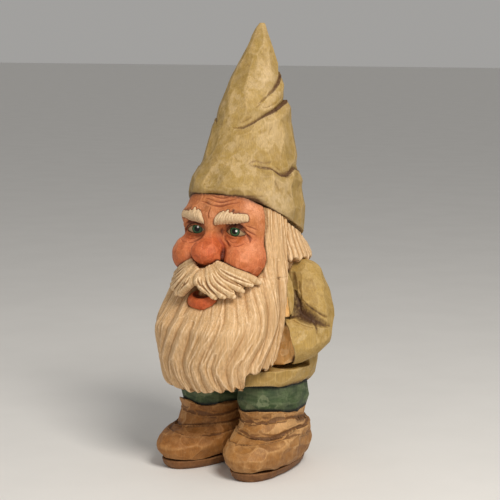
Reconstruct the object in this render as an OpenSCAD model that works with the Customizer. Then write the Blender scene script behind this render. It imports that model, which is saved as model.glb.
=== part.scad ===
// A carved and painted wooden tomte: tall leaning hat, long beard, short coat, wide boots.
// It faces -Y, its left hand is on +X and it stands on the plane z = 0.
// The origin is on the floor, under the middle of its bounding box.

/* [Stance] */
// How far the leg axes stand behind the origin, which centres the figure's depth
stance_y = 6.5; // [4:0.5:12]
// Distance of each leg axis from the middle of the figure
leg_x = 19.5; // [18.5:0.5:22]
// How far each toe turns outward, in degrees
toe_out = 6; // [0:1:15]
// Glue line left between two pieces that are fitted to each other
seam = 0.1; // [0.05:0.05:0.3]

/* [Boots] */
// Thickness of the sole
sole_h = 5.5; // [4:0.5:8]
// Height of the boot's top edge above the floor
boot_top = 36; // [32:1:42]
// Half width of the boot's shaft at its top
shaft_r = 18; // [15:0.5:18.5]
// Half depth of the boot's shaft at its top
shaft_depth = 21.5; // [16:0.5:24]
// Half width of the foot at the toe
toe_r = 16; // [13:0.5:17]
// Half width of the foot at the heel
heel_r = 15; // [12:0.5:16]
// Distance from the leg axis to the middle of the toe's curve
toe_reach = 24; // [18:1:28]
// Distance from the leg axis to the middle of the heel's curve
heel_reach = 14; // [10:1:18]

/* [Trousers] */
// Half width of each trouser leg
leg_r = 17.3; // [14:0.1:18]
// Half depth of each trouser leg
leg_depth = 20.5; // [14:0.5:23]
// Depth of the block that joins the two legs
seat_depth = 26; // [16:2:32]

/* [Coat] */
// Height of the coat's lower edge
hem_z = 48.5; // [44:0.5:56]
// Height of the ledge on which the forearms lie
skirt_z = 60.5; // [56:0.5:70]
// Half width of the coat at the hem
hem_rx = 35; // [32:1:42]
// Half width of the skirt at its widest
skirt_rx = 41; // [36:1:46]
// Half width of the chest between the two arms
chest_rx = 27; // [22:1:32]
// Height of the flat on which the head and the hair rest
neck_z = 111; // [106:1:118]

/* [Arms] */
// Radius of the sleeve above the elbow
upper_r = 12.5; // [10:0.5:14]
// Radius of the sleeve below the elbow
fore_r = 13; // [10:0.5:14]
// Radius of the mitten
mitten_r = 12; // [9:0.5:13]
// Longest reach of the mitten beyond the cuff, before the beard cuts it off
mitten_reach = 30; // [20:1:36]

/* [Head] */
// Half width of the head between the two side locks
lock_x = 24; // [20:1:28]
// Radius of the nose's ball
nose_r = 8.5; // [6:0.5:10]
// Radius of each cheek
cheek_r = 11; // [8:0.5:13]
// Radius of each eyeball
eye_r = 5; // [3.5:0.5:6]
// Half of the distance between the eyes
eye_x = 12.8; // [10:0.2:15]

/* [Hat] */
// Radius of the hat at its widest, just above the brim
hat_r = 32.5; // [30:0.5:36]
// Height of the hat's tip, which is the height of the figure
tip_z = 250; // [230:5:270]
// How steeply the brim falls towards the back, as rise over run
brim_slope = 0.54; // [0.3:0.02:0.7]

/* [Dowels] */
// Diameter of the dowel in the neck and of the one in the waist
body_dowel_d = 8; // [6:1:10]
// Diameter of the dowels in the hat, the shoulders and the legs
limb_dowel_d = 6; // [4:1:8]
// Clearance around each dowel, on the radius
dowel_clearance = 0.05; // [0.02:0.01:0.1]

/* [Hidden] */

$fn = 64;
ring_points = 36;
far = 200;

// The planes in which the pieces meet, measured from the leg axes
back_hair_y = 5;
lock_front_y = -16;
beard_back_y = -9;
waistcoat_back_y = -4.5;
apron_y = -29;
moustache_back_y = -30;
moustache_low = 98;
moustache_high = 117;
brow_back_y = -25.5;
lip_back_y = -36;
brim_front = [-27, 157];
armpit_z = 92;
shoulder_front_y = 0;
collar_x = 31;
shoulder_notch_top = neck_z + 7.5;

// The gap in the beard that the mouth opens into
mouth_half_w = 12;
mouth_floor = 90;

// How far each dowel reaches to either side of the joint it crosses
hat_pin_reach = 12;
neck_pin_down = 14;
neck_pin_up = 12;
waist_pin_down = 4;
waist_pin_up = 16;
shoulder_pin_in = 10;
shoulder_pin_out = 9;
leg_pin_down = 12;
leg_pin_up = 7;

// The left sleeve from the top of the shoulder to the cuff, as [middle, radius]
sleeve = [
    [[30, 13, 116], 0.4 * upper_r],
    [[30.5, 13, 113.5], 0.8 * upper_r],
    [[32, 13, 107.5], upper_r],
    [[36, 12.5, 98], upper_r],
    [[39.5, 10.5, 89], fore_r],
    [[40.5, 6, 80], fore_r + 0.5],
    [[37.5, 1.5, 76.5], fore_r + 0.5],
    [[33.5, -3.5, 75], fore_r],
];
cuff = sleeve[7][0];
wrist = sleeve[6][0];

hat_colour = [0.70, 0.60, 0.38];
skin_colour = [0.85, 0.48, 0.30];
hair_colour = [0.90, 0.78, 0.60];
eye_colour = [0.80, 0.85, 0.75];
coat_colour = [0.68, 0.60, 0.36];
brown_colour = [0.62, 0.44, 0.24];
trouser_colour = [0.24, 0.34, 0.20];
boot_colour = [0.66, 0.46, 0.26];
sole_colour = [0.48, 0.33, 0.20];
dowel_colour = [0.85, 0.72, 0.52];

// A piece drawn around the leg axes, moved to where the figure stands
module stand() {
    translate([0, stance_y, 0]) children();
}

// The same piece on the left side (side = 1) or the right side (side = -1)
module on_side(side) {
    stand() mirror([side > 0 ? 0 : 1, 0, 0]) children();
}

function rounded(value, power) = sign(value) * pow(abs(value), 2 / power);

// One ring of a lofted body: [middle y, z, half width, half depth, slope, squareness]
function ring(s) = [
    for (i = [0:ring_points - 1])
        let (
            angle = 360 * i / ring_points,
            x = s[2] * rounded(cos(angle), s[5]),
            y = s[3] * rounded(sin(angle), s[5])
        )
        [x, s[0] + y, s[1] - y * s[4]]
];

// A closed body through a list of rings that all have the same number of points
module skin(rings) {
    count = len(rings);
    bottom = [for (i = [0:ring_points - 1]) i];
    top = [for (i = [ring_points - 1:-1:0]) (count - 1) * ring_points + i];
    sides = [
        for (k = [0:count - 2], i = [0:ring_points - 1])
            let (
                j = (i + 1) % ring_points,
                a = k * ring_points + i,
                b = k * ring_points + j
            )
            each [[a, a + ring_points, b], [b, a + ring_points, b + ring_points]]
    ];
    polyhedron([for (r = rings) each r], concat([bottom, top], sides));
}

// A closed body through a stack of level or sloping rings, from the lowest to the highest
module loft(sections) {
    skin([for (s = sections) ring(s)]);
}

// One ring of a bent tube, square to the direction in which the tube runs there
function tube_ring(middle, direction, radius) =
    let (
        along = direction / norm(direction),
        across = cross(along, [1, 0, 0]) / norm(cross(along, [1, 0, 0])),
        over = cross(along, across)
    )
    [
        for (i = [0:ring_points - 1])
            let (angle = 360 * i / ring_points)
            middle + radius * (cos(angle) * across + sin(angle) * over)
    ];

// A bent tube through a list of [middle, radius]
module tube(stations) {
    last = len(stations) - 1;
    skin([
        for (k = [0:last])
            let (before = stations[max(k - 1, 0)][0], after = stations[min(k + 1, last)][0])
            tube_ring(stations[k][0], after - before, stations[k][1])
    ]);
}

// A straight round bar from one point to another
module bar(from, to, radius) {
    run = to - from;
    length = norm(run);
    translate(from)
        rotate([0, acos(run[2] / length), atan2(run[1], run[0])])
            cylinder(h = length, r = radius);
}

// A block between two opposite corners
module block(low, high) {
    translate(low) cube(high - low);
}

// Everything above the sloping plane on which the hat sits, less a drop
module above_brim(drop) {
    tilt = atan(brim_slope);
    translate([0, brim_front[0], brim_front[1] - drop])
        rotate([-tilt, 0, 0])
            block([-far, -far, 0], [far, far, far]);
}

// Height of the hat's seat at a given y
function brim_z(y) = brim_front[1] - brim_slope * (y - brim_front[0]);

// The five kinds of dowel, each drawn once for the pin and once for its bore
module hat_pin(extra) {
    middle = [0, -6, brim_z(-6)];
    reach = [0, 0, hat_pin_reach + extra];
    bar(middle - reach, middle + reach, limb_dowel_d / 2 + extra);
}

module neck_pin(extra) {
    middle = [0, 0.4, neck_z];
    low = middle - [0, 0, neck_pin_down + extra];
    high = middle + [0, 0, neck_pin_up + extra];
    bar(low, high, body_dowel_d / 2 + extra);
}

module waist_pin(extra) {
    middle = [0, 1, hem_z];
    low = middle - [0, 0, waist_pin_down + extra];
    high = middle + [0, 0, waist_pin_up + extra];
    bar(low, high, body_dowel_d / 2 + extra);
}

module shoulder_pin(extra) {
    middle = [chest_rx, 12, 102];
    inner = middle - [shoulder_pin_in + extra, 0, 0];
    outer = middle + [shoulder_pin_out + extra, 0, 0];
    bar(inner, outer, limb_dowel_d / 2 + extra);
}

module leg_pin(extra) {
    middle = [leg_x, 0, boot_top];
    low = middle - [0, 0, leg_pin_down + extra];
    high = middle + [0, 0, leg_pin_up + extra];
    bar(low, high, limb_dowel_d / 2 + extra);
}

// Outline of the foot seen from above, around the leg axis
module foot_outline() {
    translate([0, heel_reach]) circle(heel_r);
    translate([0, -toe_reach]) circle(toe_r);
    polygon([
        [heel_r, heel_reach],
        [-heel_r, heel_reach],
        [-toe_r, -toe_reach],
        [toe_r, -toe_reach],
    ]);
}

module sole(side) {
    color(sole_colour)
        on_side(side)
            translate([leg_x, 0, 0])
                rotate([0, 0, toe_out])
                    linear_extrude(sole_h) foot_outline();
}

// Rings of the boot: a wide flat foot that narrows to the round shaft
boot_rings = [
    [-5, sole_h + seam, 16, 34.5, 0, 2.4],
    [-5.5, 10, 17, 36, 0, 2.4],
    [-4.5, 17, 17.2, 34.5, 0, 2.3],
    [-2, 21.5, 16.8, 30, 0, 2.2],
    [0.5, 26, 16, 24, 0, 2.1],
    [0.5, 31, 16.8, 20.5, 0, 2.1],
    [0, boot_top, shaft_r, shaft_depth, 0, 2.1],
];

module boot(side) {
    color(boot_colour)
        on_side(side)
            difference() {
                translate([leg_x, 0, 0]) rotate([0, 0, toe_out]) loft(boot_rings);
                leg_pin(dowel_clearance);
            }
}

// Rings of one trouser leg, gathered a little into the boot and under the coat
trouser_middle = (boot_top + hem_z) / 2;
trouser_rings = [
    [0, boot_top + seam, leg_r - 1, leg_depth - 1, 0, 2.1],
    [0, trouser_middle - 1, leg_r, leg_depth, 0, 2.1],
    [0, trouser_middle + 2, leg_r, leg_depth, 0, 2.1],
    [0, hem_z - seam, leg_r - 0.5, leg_depth - 0.5, 0, 2.1],
];

module trousers() {
    color(trouser_colour)
        stand()
            difference() {
                union() {
                    for (side = [-1, 1])
                        translate([side * leg_x, 0, 0]) loft(trouser_rings);
                    block(
                        [-leg_x, -seat_depth / 2, trouser_middle],
                        [leg_x, seat_depth / 2, hem_z - seam]
                    );
                }
                waist_pin(dowel_clearance);
                leg_pin(dowel_clearance);
                mirror([1, 0, 0]) leg_pin(dowel_clearance);
            }
}

// Rings of the coat: a flared skirt, a full belly and sloping shoulders
coat_rings = [
    [3, hem_z, hem_rx, 34, 0, 2.3],
    [3.5, hem_z + 4, skirt_rx - 1.5, 35, 0, 2.3],
    [4, skirt_z - 2, skirt_rx, 35, 0, 2.3],
    [5, skirt_z + 9, skirt_rx - 1, 32.5, 0, 2.3],
    [6, 88, 38, 30, 0, 2.2],
    [6, 102, 35, 27, 0, 2.2],
    [6, neck_z - seam, 30.5, 23, 0, 2.2],
];

module coat() {
    color(coat_colour)
        stand()
            difference() {
                loft(coat_rings);
                block([-far, -far, skirt_z], [far, waistcoat_back_y, far]);
                block([-far, -far, 0], [far, apron_y, skirt_z]);
                for (side = [0, 1])
                    mirror([side, 0, 0]) {
                        block([chest_rx, -far, skirt_z], [far, far, armpit_z]);
                        block([chest_rx, shoulder_front_y, skirt_z], [far, far, far]);
                        shoulder_pin(dowel_clearance);
                    }
                neck_pin(dowel_clearance);
                waist_pin(dowel_clearance);
            }
}

// The brown panel that closes the coat over the chest, behind the beard
module waistcoat() {
    front = beard_back_y + seam;
    back = waistcoat_back_y - seam;
    color(brown_colour)
        stand()
            intersection() {
                loft(coat_rings);
                union() {
                    block([-chest_rx, front, skirt_z + seam], [chest_rx, back, far]);
                    block([-far, front, armpit_z + seam], [far, back, far]);
                }
            }
}

module arm(side) {
    color(coat_colour)
        on_side(side)
            difference() {
                tube(sleeve);
                block([-far, -far, -far], [chest_rx + seam, far, far]);
                block([-far, -far, neck_z - seam], [collar_x + seam, far, far]);
                shoulder_pin(dowel_clearance);
            }
}

module mitten(side) {
    along = (cuff - wrist) / norm(cuff - wrist);
    low = [chest_rx + seam, beard_back_y + seam, skirt_z + seam];
    color(brown_colour)
        on_side(side)
            intersection() {
                bar(cuff + seam * along, cuff + mitten_reach * along, mitten_r);
                block(low, [far, far, armpit_z]);
            }
}

// Rings of the head: jaw, cheeks, eyes and forehead
head_rings = [
    [-8, neck_z, 24, 20, 0, 2.4],
    [-8, 118, 26, 21, 0, 2.4],
    [-8, 127, 26.5, 20, 0, 2.4],
    [-8, 136, 26, 17.5, 0, 2.4],
    [-8, 146, 26, 18, 0, 2.4],
    [-8, brim_front[1] + 5, 25, 17.5, 0, 2.4],
];

nose_middle = [0, -33.8, 124.8];
cheek_middle = [15, -21.5, 121.5];
eye_middle = [eye_x, -22, 136.5];

module head() {
    color(skin_colour)
        stand()
            difference() {
                union() {
                    loft(head_rings);
                    translate(nose_middle) sphere(nose_r);
                    bar(nose_middle, [0, -22, 144], 4);
                    for (side = [-1, 1])
                        translate([side * cheek_middle[0], cheek_middle[1], cheek_middle[2]])
                            sphere(cheek_r);
                }
                above_brim(seam);
                block([-far, -far, 0], [far, far, neck_z]);
                block([-far, back_hair_y - seam, 0], [far, far, far]);
                block([-far, -far, moustache_low], [far, moustache_back_y, nose_middle[2] - nose_r]);
                for (side = [0, 1])
                    mirror([side, 0, 0]) {
                        block([lock_x - seam, lock_front_y - seam, 0], [far, far, far]);
                        translate(eye_middle) sphere(eye_r + dowel_clearance);
                        brow_shape(seam);
                    }
                neck_pin(dowel_clearance);
                hat_pin(dowel_clearance);
            }
}

module eye(side) {
    color(eye_colour) on_side(side) translate(eye_middle) sphere(eye_r);
}

// A flat-backed tuft over the eye, grown by the given amount on every side
module brow_shape(extra) {
    intersection() {
        hull() {
            translate([6.5, brow_back_y - 1, 144.5]) sphere(3.2 + extra, $fn = 24);
            translate([13, brow_back_y - 0.5, 146]) sphere(3.6 + extra, $fn = 24);
            translate([20.5, brow_back_y + 1, 144]) sphere(2.8 + extra, $fn = 24);
        }
        block([0, -far, 0], [far, brow_back_y + extra, far]);
    }
}

module brow(side) {
    color(hair_colour) on_side(side) brow_shape(0);
}

// Rings of the hair, whose back and two side locks wrap the head
hair_rings = [
    [7, neck_z, 32, 26, 0, 2.3],
    [7, 120, 34, 29.5, 0, 2.3],
    [7, 129, 31, 28, 0, 2.3],
    [7, brim_front[1], 29.5, 27, 0, 2.3],
];

module hair_body() {
    difference() {
        loft(hair_rings);
        above_brim(seam);
        for (side = [0, 1])
            mirror([side, 0, 0])
                block([collar_x, -far, 0], [far, far, shoulder_notch_top]);
    }
}

module back_hair() {
    color(hair_colour)
        stand()
            intersection() {
                hair_body();
                block([-far, back_hair_y, 0], [far, far, far]);
            }
}

module side_lock(side) {
    color(hair_colour)
        on_side(side)
            intersection() {
                hair_body();
                block([lock_x, lock_front_y, 0], [far, back_hair_y - seam, far]);
            }
}

module moustache() {
    tip = [27, -28, 107];
    fold = [14, -33, 107];
    root = [5, -36, 112.5];
    color(hair_colour)
        stand()
            difference() {
                for (side = [0, 1])
                    mirror([side, 0, 0]) {
                        hull() {
                            translate(root) sphere(5.5, $fn = 24);
                            translate(fold) sphere(8, $fn = 24);
                        }
                        hull() {
                            translate(fold) sphere(8, $fn = 24);
                            translate(tip) sphere(4, $fn = 24);
                        }
                    }
                block([-far, moustache_back_y - seam, 0], [far, far, far]);
                block([-far, -far, moustache_high - seam], [far, far, far]);
                block([-far, -far, 0], [far, far, moustache_low + seam]);
                translate(nose_middle) sphere(nose_r + seam);
            }
}

module lower_lip() {
    color(skin_colour)
        stand()
            intersection() {
                translate([0, lip_back_y + 1, 96]) scale([10.5, 6.5, 5]) sphere(1);
                block([-far, -far, 0], [far, lip_back_y - seam, moustache_low - seam]);
            }
}

// Rings of the beard: rounded tip, full belly and a throat that rises behind the moustache
beard_rings = [
    [-32, 48, 17, 9, 0, 2.4],
    [-29, 51, 25, 15, 0, 2.4],
    [-27, 55, 30, 19.5, 0, 2.4],
    [-25, 60, 33, 24, 0, 2.4],
    [-24, 66, 34.5, 27, 0, 2.4],
    [-22, 76, 36.5, 30, 0, 2.4],
    [-21, 84, 37, 31, 0, 2.4],
    [-20, 92, 36.5, 27, 0, 2.4],
    [-18, 101, 36, 21, 0, 2.4],
    [-16, neck_z - seam, 33.5, 17, 0, 2.4],
];

module beard() {
    color(hair_colour)
        stand()
            difference() {
                loft(beard_rings);
                block([-far, beard_back_y - seam, skirt_z - 1], [far, far, far]);
                block([-far, apron_y - seam, 0], [far, far, skirt_z + seam]);
                block([-far, -far, moustache_low], [far, moustache_back_y, far]);
                block([-mouth_half_w, -far, mouth_floor], [mouth_half_w, lip_back_y, far]);
            }
}

// Rings of the hat: rolled brim, wide crown and a long cone that leans back
hat_rings = [
    [6, brim_z(6), hat_r - 1.2, hat_r, brim_slope, 2.1],
    [6, 148, hat_r, hat_r, 0.45, 2.1],
    [5, 157, hat_r - 2, hat_r - 2, 0.3, 2.1],
    [5.5, 166, 28, 28, 0.2, 2.1],
    [7, 175, 26, 26, 0.12, 2.1],
    [8.5, 185, 23.5, 23.5, 0.08, 2.1],
    [10.5, 197, 20.5, 20.5, 0.05, 2.1],
    [11.5, 209, 16.7, 16.7, 0, 2.1],
    [13, 219, 14.2, 14.2, 0, 2.1],
    [15, 229, 11.2, 11.2, 0, 2.1],
    [17, 240, 7.5, 7.5, 0, 2.1],
    [18.2, tip_z - 3, 4.6, 4.6, 0, 2.1],
    [18.6, tip_z, 2.2, 2.2, 0, 2.1],
];

module hat() {
    color(hat_colour)
        stand()
            difference() {
                loft(hat_rings);
                hat_pin(dowel_clearance);
            }
}

module dowel() {
    color(dowel_colour) children();
}

hat();
head();
back_hair();
side_lock(1);  // left_side_lock
side_lock(-1);  // right_side_lock
eye(1);  // left_eye
eye(-1);  // right_eye
brow(1);  // left_brow
brow(-1);  // right_brow
moustache();
lower_lip();
beard();
coat();
waistcoat();
arm(1);  // left_arm
arm(-1);  // right_arm
mitten(1);  // left_mitten
mitten(-1);  // right_mitten
trousers();
boot(1);  // left_boot
boot(-1);  // right_boot
sole(1);  // left_sole
sole(-1);  // right_sole
dowel() stand() hat_pin(0);  // hat_dowel
dowel() stand() neck_pin(0);  // neck_dowel
dowel() stand() waist_pin(0);  // waist_dowel
dowel() on_side(1) shoulder_pin(0);  // left_shoulder_dowel
dowel() on_side(-1) shoulder_pin(0);  // right_shoulder_dowel
dowel() on_side(1) leg_pin(0);  // left_leg_dowel
dowel() on_side(-1) leg_pin(0);  // right_leg_dowel
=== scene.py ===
"""The looks of a carved and painted wooden tomte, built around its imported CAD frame.

Every visible piece is carved in code. A solid is first described as a distance field
in millimetres, in the figure's own axes: x to its left, -y to its front, z up, with the
origin on the floor between the two leg axes. The field is meshed, cut with knife facets,
scored and combed, and then moved into the CAD frame.
"""

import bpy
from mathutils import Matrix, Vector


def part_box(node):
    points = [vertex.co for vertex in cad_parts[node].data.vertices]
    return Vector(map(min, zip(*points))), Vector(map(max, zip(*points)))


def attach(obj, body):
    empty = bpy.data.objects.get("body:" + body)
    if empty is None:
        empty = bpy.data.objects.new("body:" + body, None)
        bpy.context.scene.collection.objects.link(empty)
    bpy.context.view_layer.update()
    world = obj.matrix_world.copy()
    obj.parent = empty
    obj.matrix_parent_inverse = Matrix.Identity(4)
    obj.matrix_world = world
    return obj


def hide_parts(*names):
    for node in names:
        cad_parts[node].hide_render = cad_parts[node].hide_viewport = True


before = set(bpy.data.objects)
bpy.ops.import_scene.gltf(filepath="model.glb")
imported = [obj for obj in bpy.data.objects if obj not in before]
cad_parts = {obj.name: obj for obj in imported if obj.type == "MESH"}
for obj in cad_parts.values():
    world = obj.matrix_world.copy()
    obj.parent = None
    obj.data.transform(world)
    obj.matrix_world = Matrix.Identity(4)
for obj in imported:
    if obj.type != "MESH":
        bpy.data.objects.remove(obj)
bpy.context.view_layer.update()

import copy
import math

import bpy
import numpy as np
import openvdb
from mathutils import Vector

MM = 0.001
FINE = 1.0
SIDES = {"left": 1, "right": -1}

leg_low, leg_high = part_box("left_leg_dowel")
LEG_AXIS = (leg_low + leg_high) / 2
STANCE_Y = LEG_AXIS.y / MM
LEG_X = LEG_AXIS.x / MM


def level(node, end):
    """The lowest (0) or highest (1) z of a CAD node, in millimetres."""
    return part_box(node)[end].z / MM


HAT_TOP = level("hat", 1)
BRIM_SLOPE = 0.54
APRON_Y = -29
BOOT_TOP = level("left_boot", 1)
SOLE_TOP = level("left_sole", 1)
HEM_Z = level("coat", 0)
NECK_Z = level("coat", 1)

# ---------------------------------------------------------------- camera


def outward(azimuth, elevation):
    """The direction from the figure at a bearing from its front and an angle above the floor."""
    azimuth, elevation = math.radians(azimuth), math.radians(elevation)
    return Vector(
        (
            math.sin(azimuth) * math.cos(elevation),
            -math.cos(azimuth) * math.cos(elevation),
            math.sin(elevation),
        )
    )


def add_camera():
    """A camera a little above the figure's middle, turned towards its left side."""
    azimuth = 35
    distance = 0.9
    sensor = 36
    lens = 114.7032
    back = outward(azimuth, 7.5)
    right = Vector((math.cos(math.radians(azimuth)), math.sin(math.radians(azimuth)), 0))
    middle = Vector((0, LEG_AXIS.y, HAT_TOP * MM / 2))
    aim = middle + right * 0.0040 + Vector((0, 0, -0.0024))
    data = bpy.data.cameras.new("camera")
    data.sensor_width = sensor
    data.lens = lens
    camera = bpy.data.objects.new("camera", data)
    camera.location = aim + back * distance
    camera.rotation_mode = "QUATERNION"
    camera.rotation_quaternion = (-back).to_track_quat("-Z", "Y")
    bpy.context.scene.collection.objects.link(camera)
    bpy.context.scene.camera = camera


# ---------------------------------------------------------------- fields

FAR = 1e3
LATTICE = 32
RING_HEIGHTS = 500
GROOVE_POINTS = 24
STROKE_SWING = 0.18
COMB_STAIN = 0.3

class Block:
    """A block of space sampled on a regular grid."""

    def __init__(self, low, high, cell):
        self.low = np.array(low, float)
        self.cell = cell * FINE
        self.counts = np.ceil((np.array(high) - self.low) / self.cell).astype(int) + 1
        axes = [self.low[i] + self.cell * np.arange(self.counts[i]) for i in range(3)]
        self.x = axes[0].astype(np.float32)[:, None, None]
        self.y = axes[1].astype(np.float32)[None, :, None]
        self.z = axes[2].astype(np.float32)[None, None, :]


def half_block(side, low, high, cell):
    """A block given for the left side, or its mirror image on the right."""
    low, high = np.array(low, float), np.array(high, float)
    if side < 0:
        low[0], high[0] = -high[0], -low[0]
    return Block(low, high, cell)


class Spots:
    """Single points of space, which the shapes below take in place of a block."""

    def __init__(self, points):
        self.x, self.y, self.z = points.T.astype(np.float32)


def blend(a, b, reach):
    """The union of two fields with a fillet of about that reach."""
    share = np.clip(0.5 + 0.5 * (b - a) / reach, 0, 1)
    return b * (1 - share) + a * share - reach * share * (1 - share)


def meet(a, b, reach=0.0):
    """What two fields have in common."""
    return -blend(-a, -b, reach) if reach else np.maximum(a, b)


def cut(a, b, reach=0.0):
    """Field a without field b."""
    return meet(a, -b, reach)


def ball(block, middle, radii):
    """An ellipsoid."""
    x, y, z = (g - m for g, m in zip((block.x, block.y, block.z), middle))
    rx, ry, rz = radii
    near = np.sqrt((x / rx) ** 2 + (y / ry) ** 2 + (z / rz) ** 2)
    slope = np.sqrt((x / rx**2) ** 2 + (y / ry**2) ** 2 + (z / rz**2) ** 2)
    return near * (near - 1) / np.maximum(slope, 1e-4)


def near_part(block, low, high):
    """The part of a block or of a list of points that lies in a box, and where it is."""
    axes = (block.x, block.y, block.z)
    if block.x.ndim == 1:
        inside = np.ones(block.x.shape, bool)
        for axis, a, b in zip(axes, low, high):
            inside &= (axis > a) & (axis < b)
        return [axis[inside] for axis in axes], inside, block.x.shape
    spans = [(axis.ravel() > a) & (axis.ravel() < b) for axis, a, b in zip(axes, low, high)]
    x, y, z = (axis.ravel()[span] for axis, span in zip(axes, spans))
    shape = tuple(span.size for span in spans)
    return [x[:, None, None], y[None, :, None], z[None, None, :]], np.ix_(*spans), shape


def tube(block, path, radii):
    """A round bar through a list of points, with a radius at each point."""
    path = np.array(path, float)
    margin = 3.0
    reach = np.max(radii) + margin
    axes, where, shape = near_part(block, path.min(axis=0) - reach, path.max(axis=0) + reach)
    whole = np.full(shape, margin, np.float32)
    whole[where] = np.minimum(round_bar(axes, path, radii), margin)
    return whole


def round_bar(axes, path, radii):
    """Distance from the points with those coordinates to a tapered bar."""
    field = None
    for start, end, r0, r1 in zip(path[:-1], path[1:], radii[:-1], radii[1:]):
        run = end - start
        x, y, z = (axis - at for axis, at in zip(axes, start))
        along = (x * run[0] + y * run[1] + z * run[2]) / (run @ run)
        along = np.clip(along, 0, 1)
        gap = np.sqrt((x - along * run[0]) ** 2 + (y - along * run[1]) ** 2 + (z - along * run[2]) ** 2)
        gap = gap - (r0 + along * (r1 - r0))
        field = gap if field is None else np.minimum(field, gap)
    return field


def curve(points, count):
    """Points along a smooth curve through the given ones."""
    points = np.array(points, float)
    padded = np.vstack([2 * points[0] - points[1], points, 2 * points[-1] - points[-2]])
    at = np.linspace(0, len(points) - 1, count)
    k = np.minimum(at.astype(int), len(points) - 2)
    t = (at - k)[:, None]
    a, b, c, d = (padded[k + i] for i in range(4))
    square = 2 * a - 5 * b + 4 * c - d
    cube = 3 * b - a - 3 * c + d
    return 0.5 * (2 * b + (c - a) * t + square * t**2 + cube * t**3)


class Rings:
    """Rings stacked along z: each row is z, middle y, half width, half depth, squareness, slope."""

    def __init__(self, rows, soften=3.0):
        rows = np.array(rows, float)
        self.z = np.linspace(rows[0, 0], rows[-1, 0], RING_HEIGHTS)
        reach = max(int(soften / (self.z[1] - self.z[0])), 1)
        window = np.hanning(2 * reach + 3)
        window /= window.sum()
        self.columns = []
        for column in rows[:, 1:].T:
            values = np.interp(self.z, rows[:, 0], column)
            padded = np.pad(values, reach + 1, mode="reflect", reflect_type="odd")
            self.columns.append(np.convolve(padded, window, "valid"))

    def at(self, z, column):
        """One column of the rings at any heights."""
        return np.interp(z, self.z, self.columns[column]).astype(np.float32)

    def field(self, block):
        """The solid through the rings, and the z of the ring that passes through each point."""
        ring = block.z + 0 * block.y
        for _ in range(4):
            ring = block.z + (block.y - self.at(ring, 0)) * self.at(ring, 4)
        half_width, half_depth = self.at(ring, 1), self.at(ring, 2)
        power = self.at(ring, 3)
        across = np.abs(block.x) / half_width
        along = np.abs(block.y - self.at(ring, 0)) / half_depth
        reach = (across**power + along**power) ** (1 / power)
        field = (reach - 1) * np.minimum(half_width, half_depth)
        ends = np.maximum(self.z[0] - ring, ring - self.z[-1])
        return np.maximum(field, ends), ring


def noise(points, size, seed):
    """Smooth noise from -1 to 1 whose lumps are about that size (a number or one per axis)."""
    lattice = np.random.default_rng(seed).uniform(-1, 1, (LATTICE,) * 3).astype(np.float32)
    at = points / np.array(size) + 100.0
    cell = np.floor(at).astype(int)
    t = at - cell
    t = t * t * (3 - 2 * t)
    total = 0
    for corner in np.ndindex(2, 2, 2):
        weight = np.prod(np.where(corner, t, 1 - t), axis=-1)
        index = (cell + corner) % LATTICE
        total = total + weight * lattice[index[..., 0], index[..., 1], index[..., 2]]
    return total


def sampled(block, field, points):
    """The field at any points, interpolated between the grid's own."""
    at = (points - block.low) / block.cell
    cell = np.clip(np.floor(at).astype(int), 0, block.counts - 2)
    t = np.clip(at - cell, 0, 1)
    total = 0
    for corner in np.ndindex(2, 2, 2):
        weight = np.prod(np.where(corner, t, 1 - t), axis=1)
        i, j, k = (cell + corner).T
        total = total + weight * field[i, j, k]
    return total


# ---------------------------------------------------------------- carving


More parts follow.
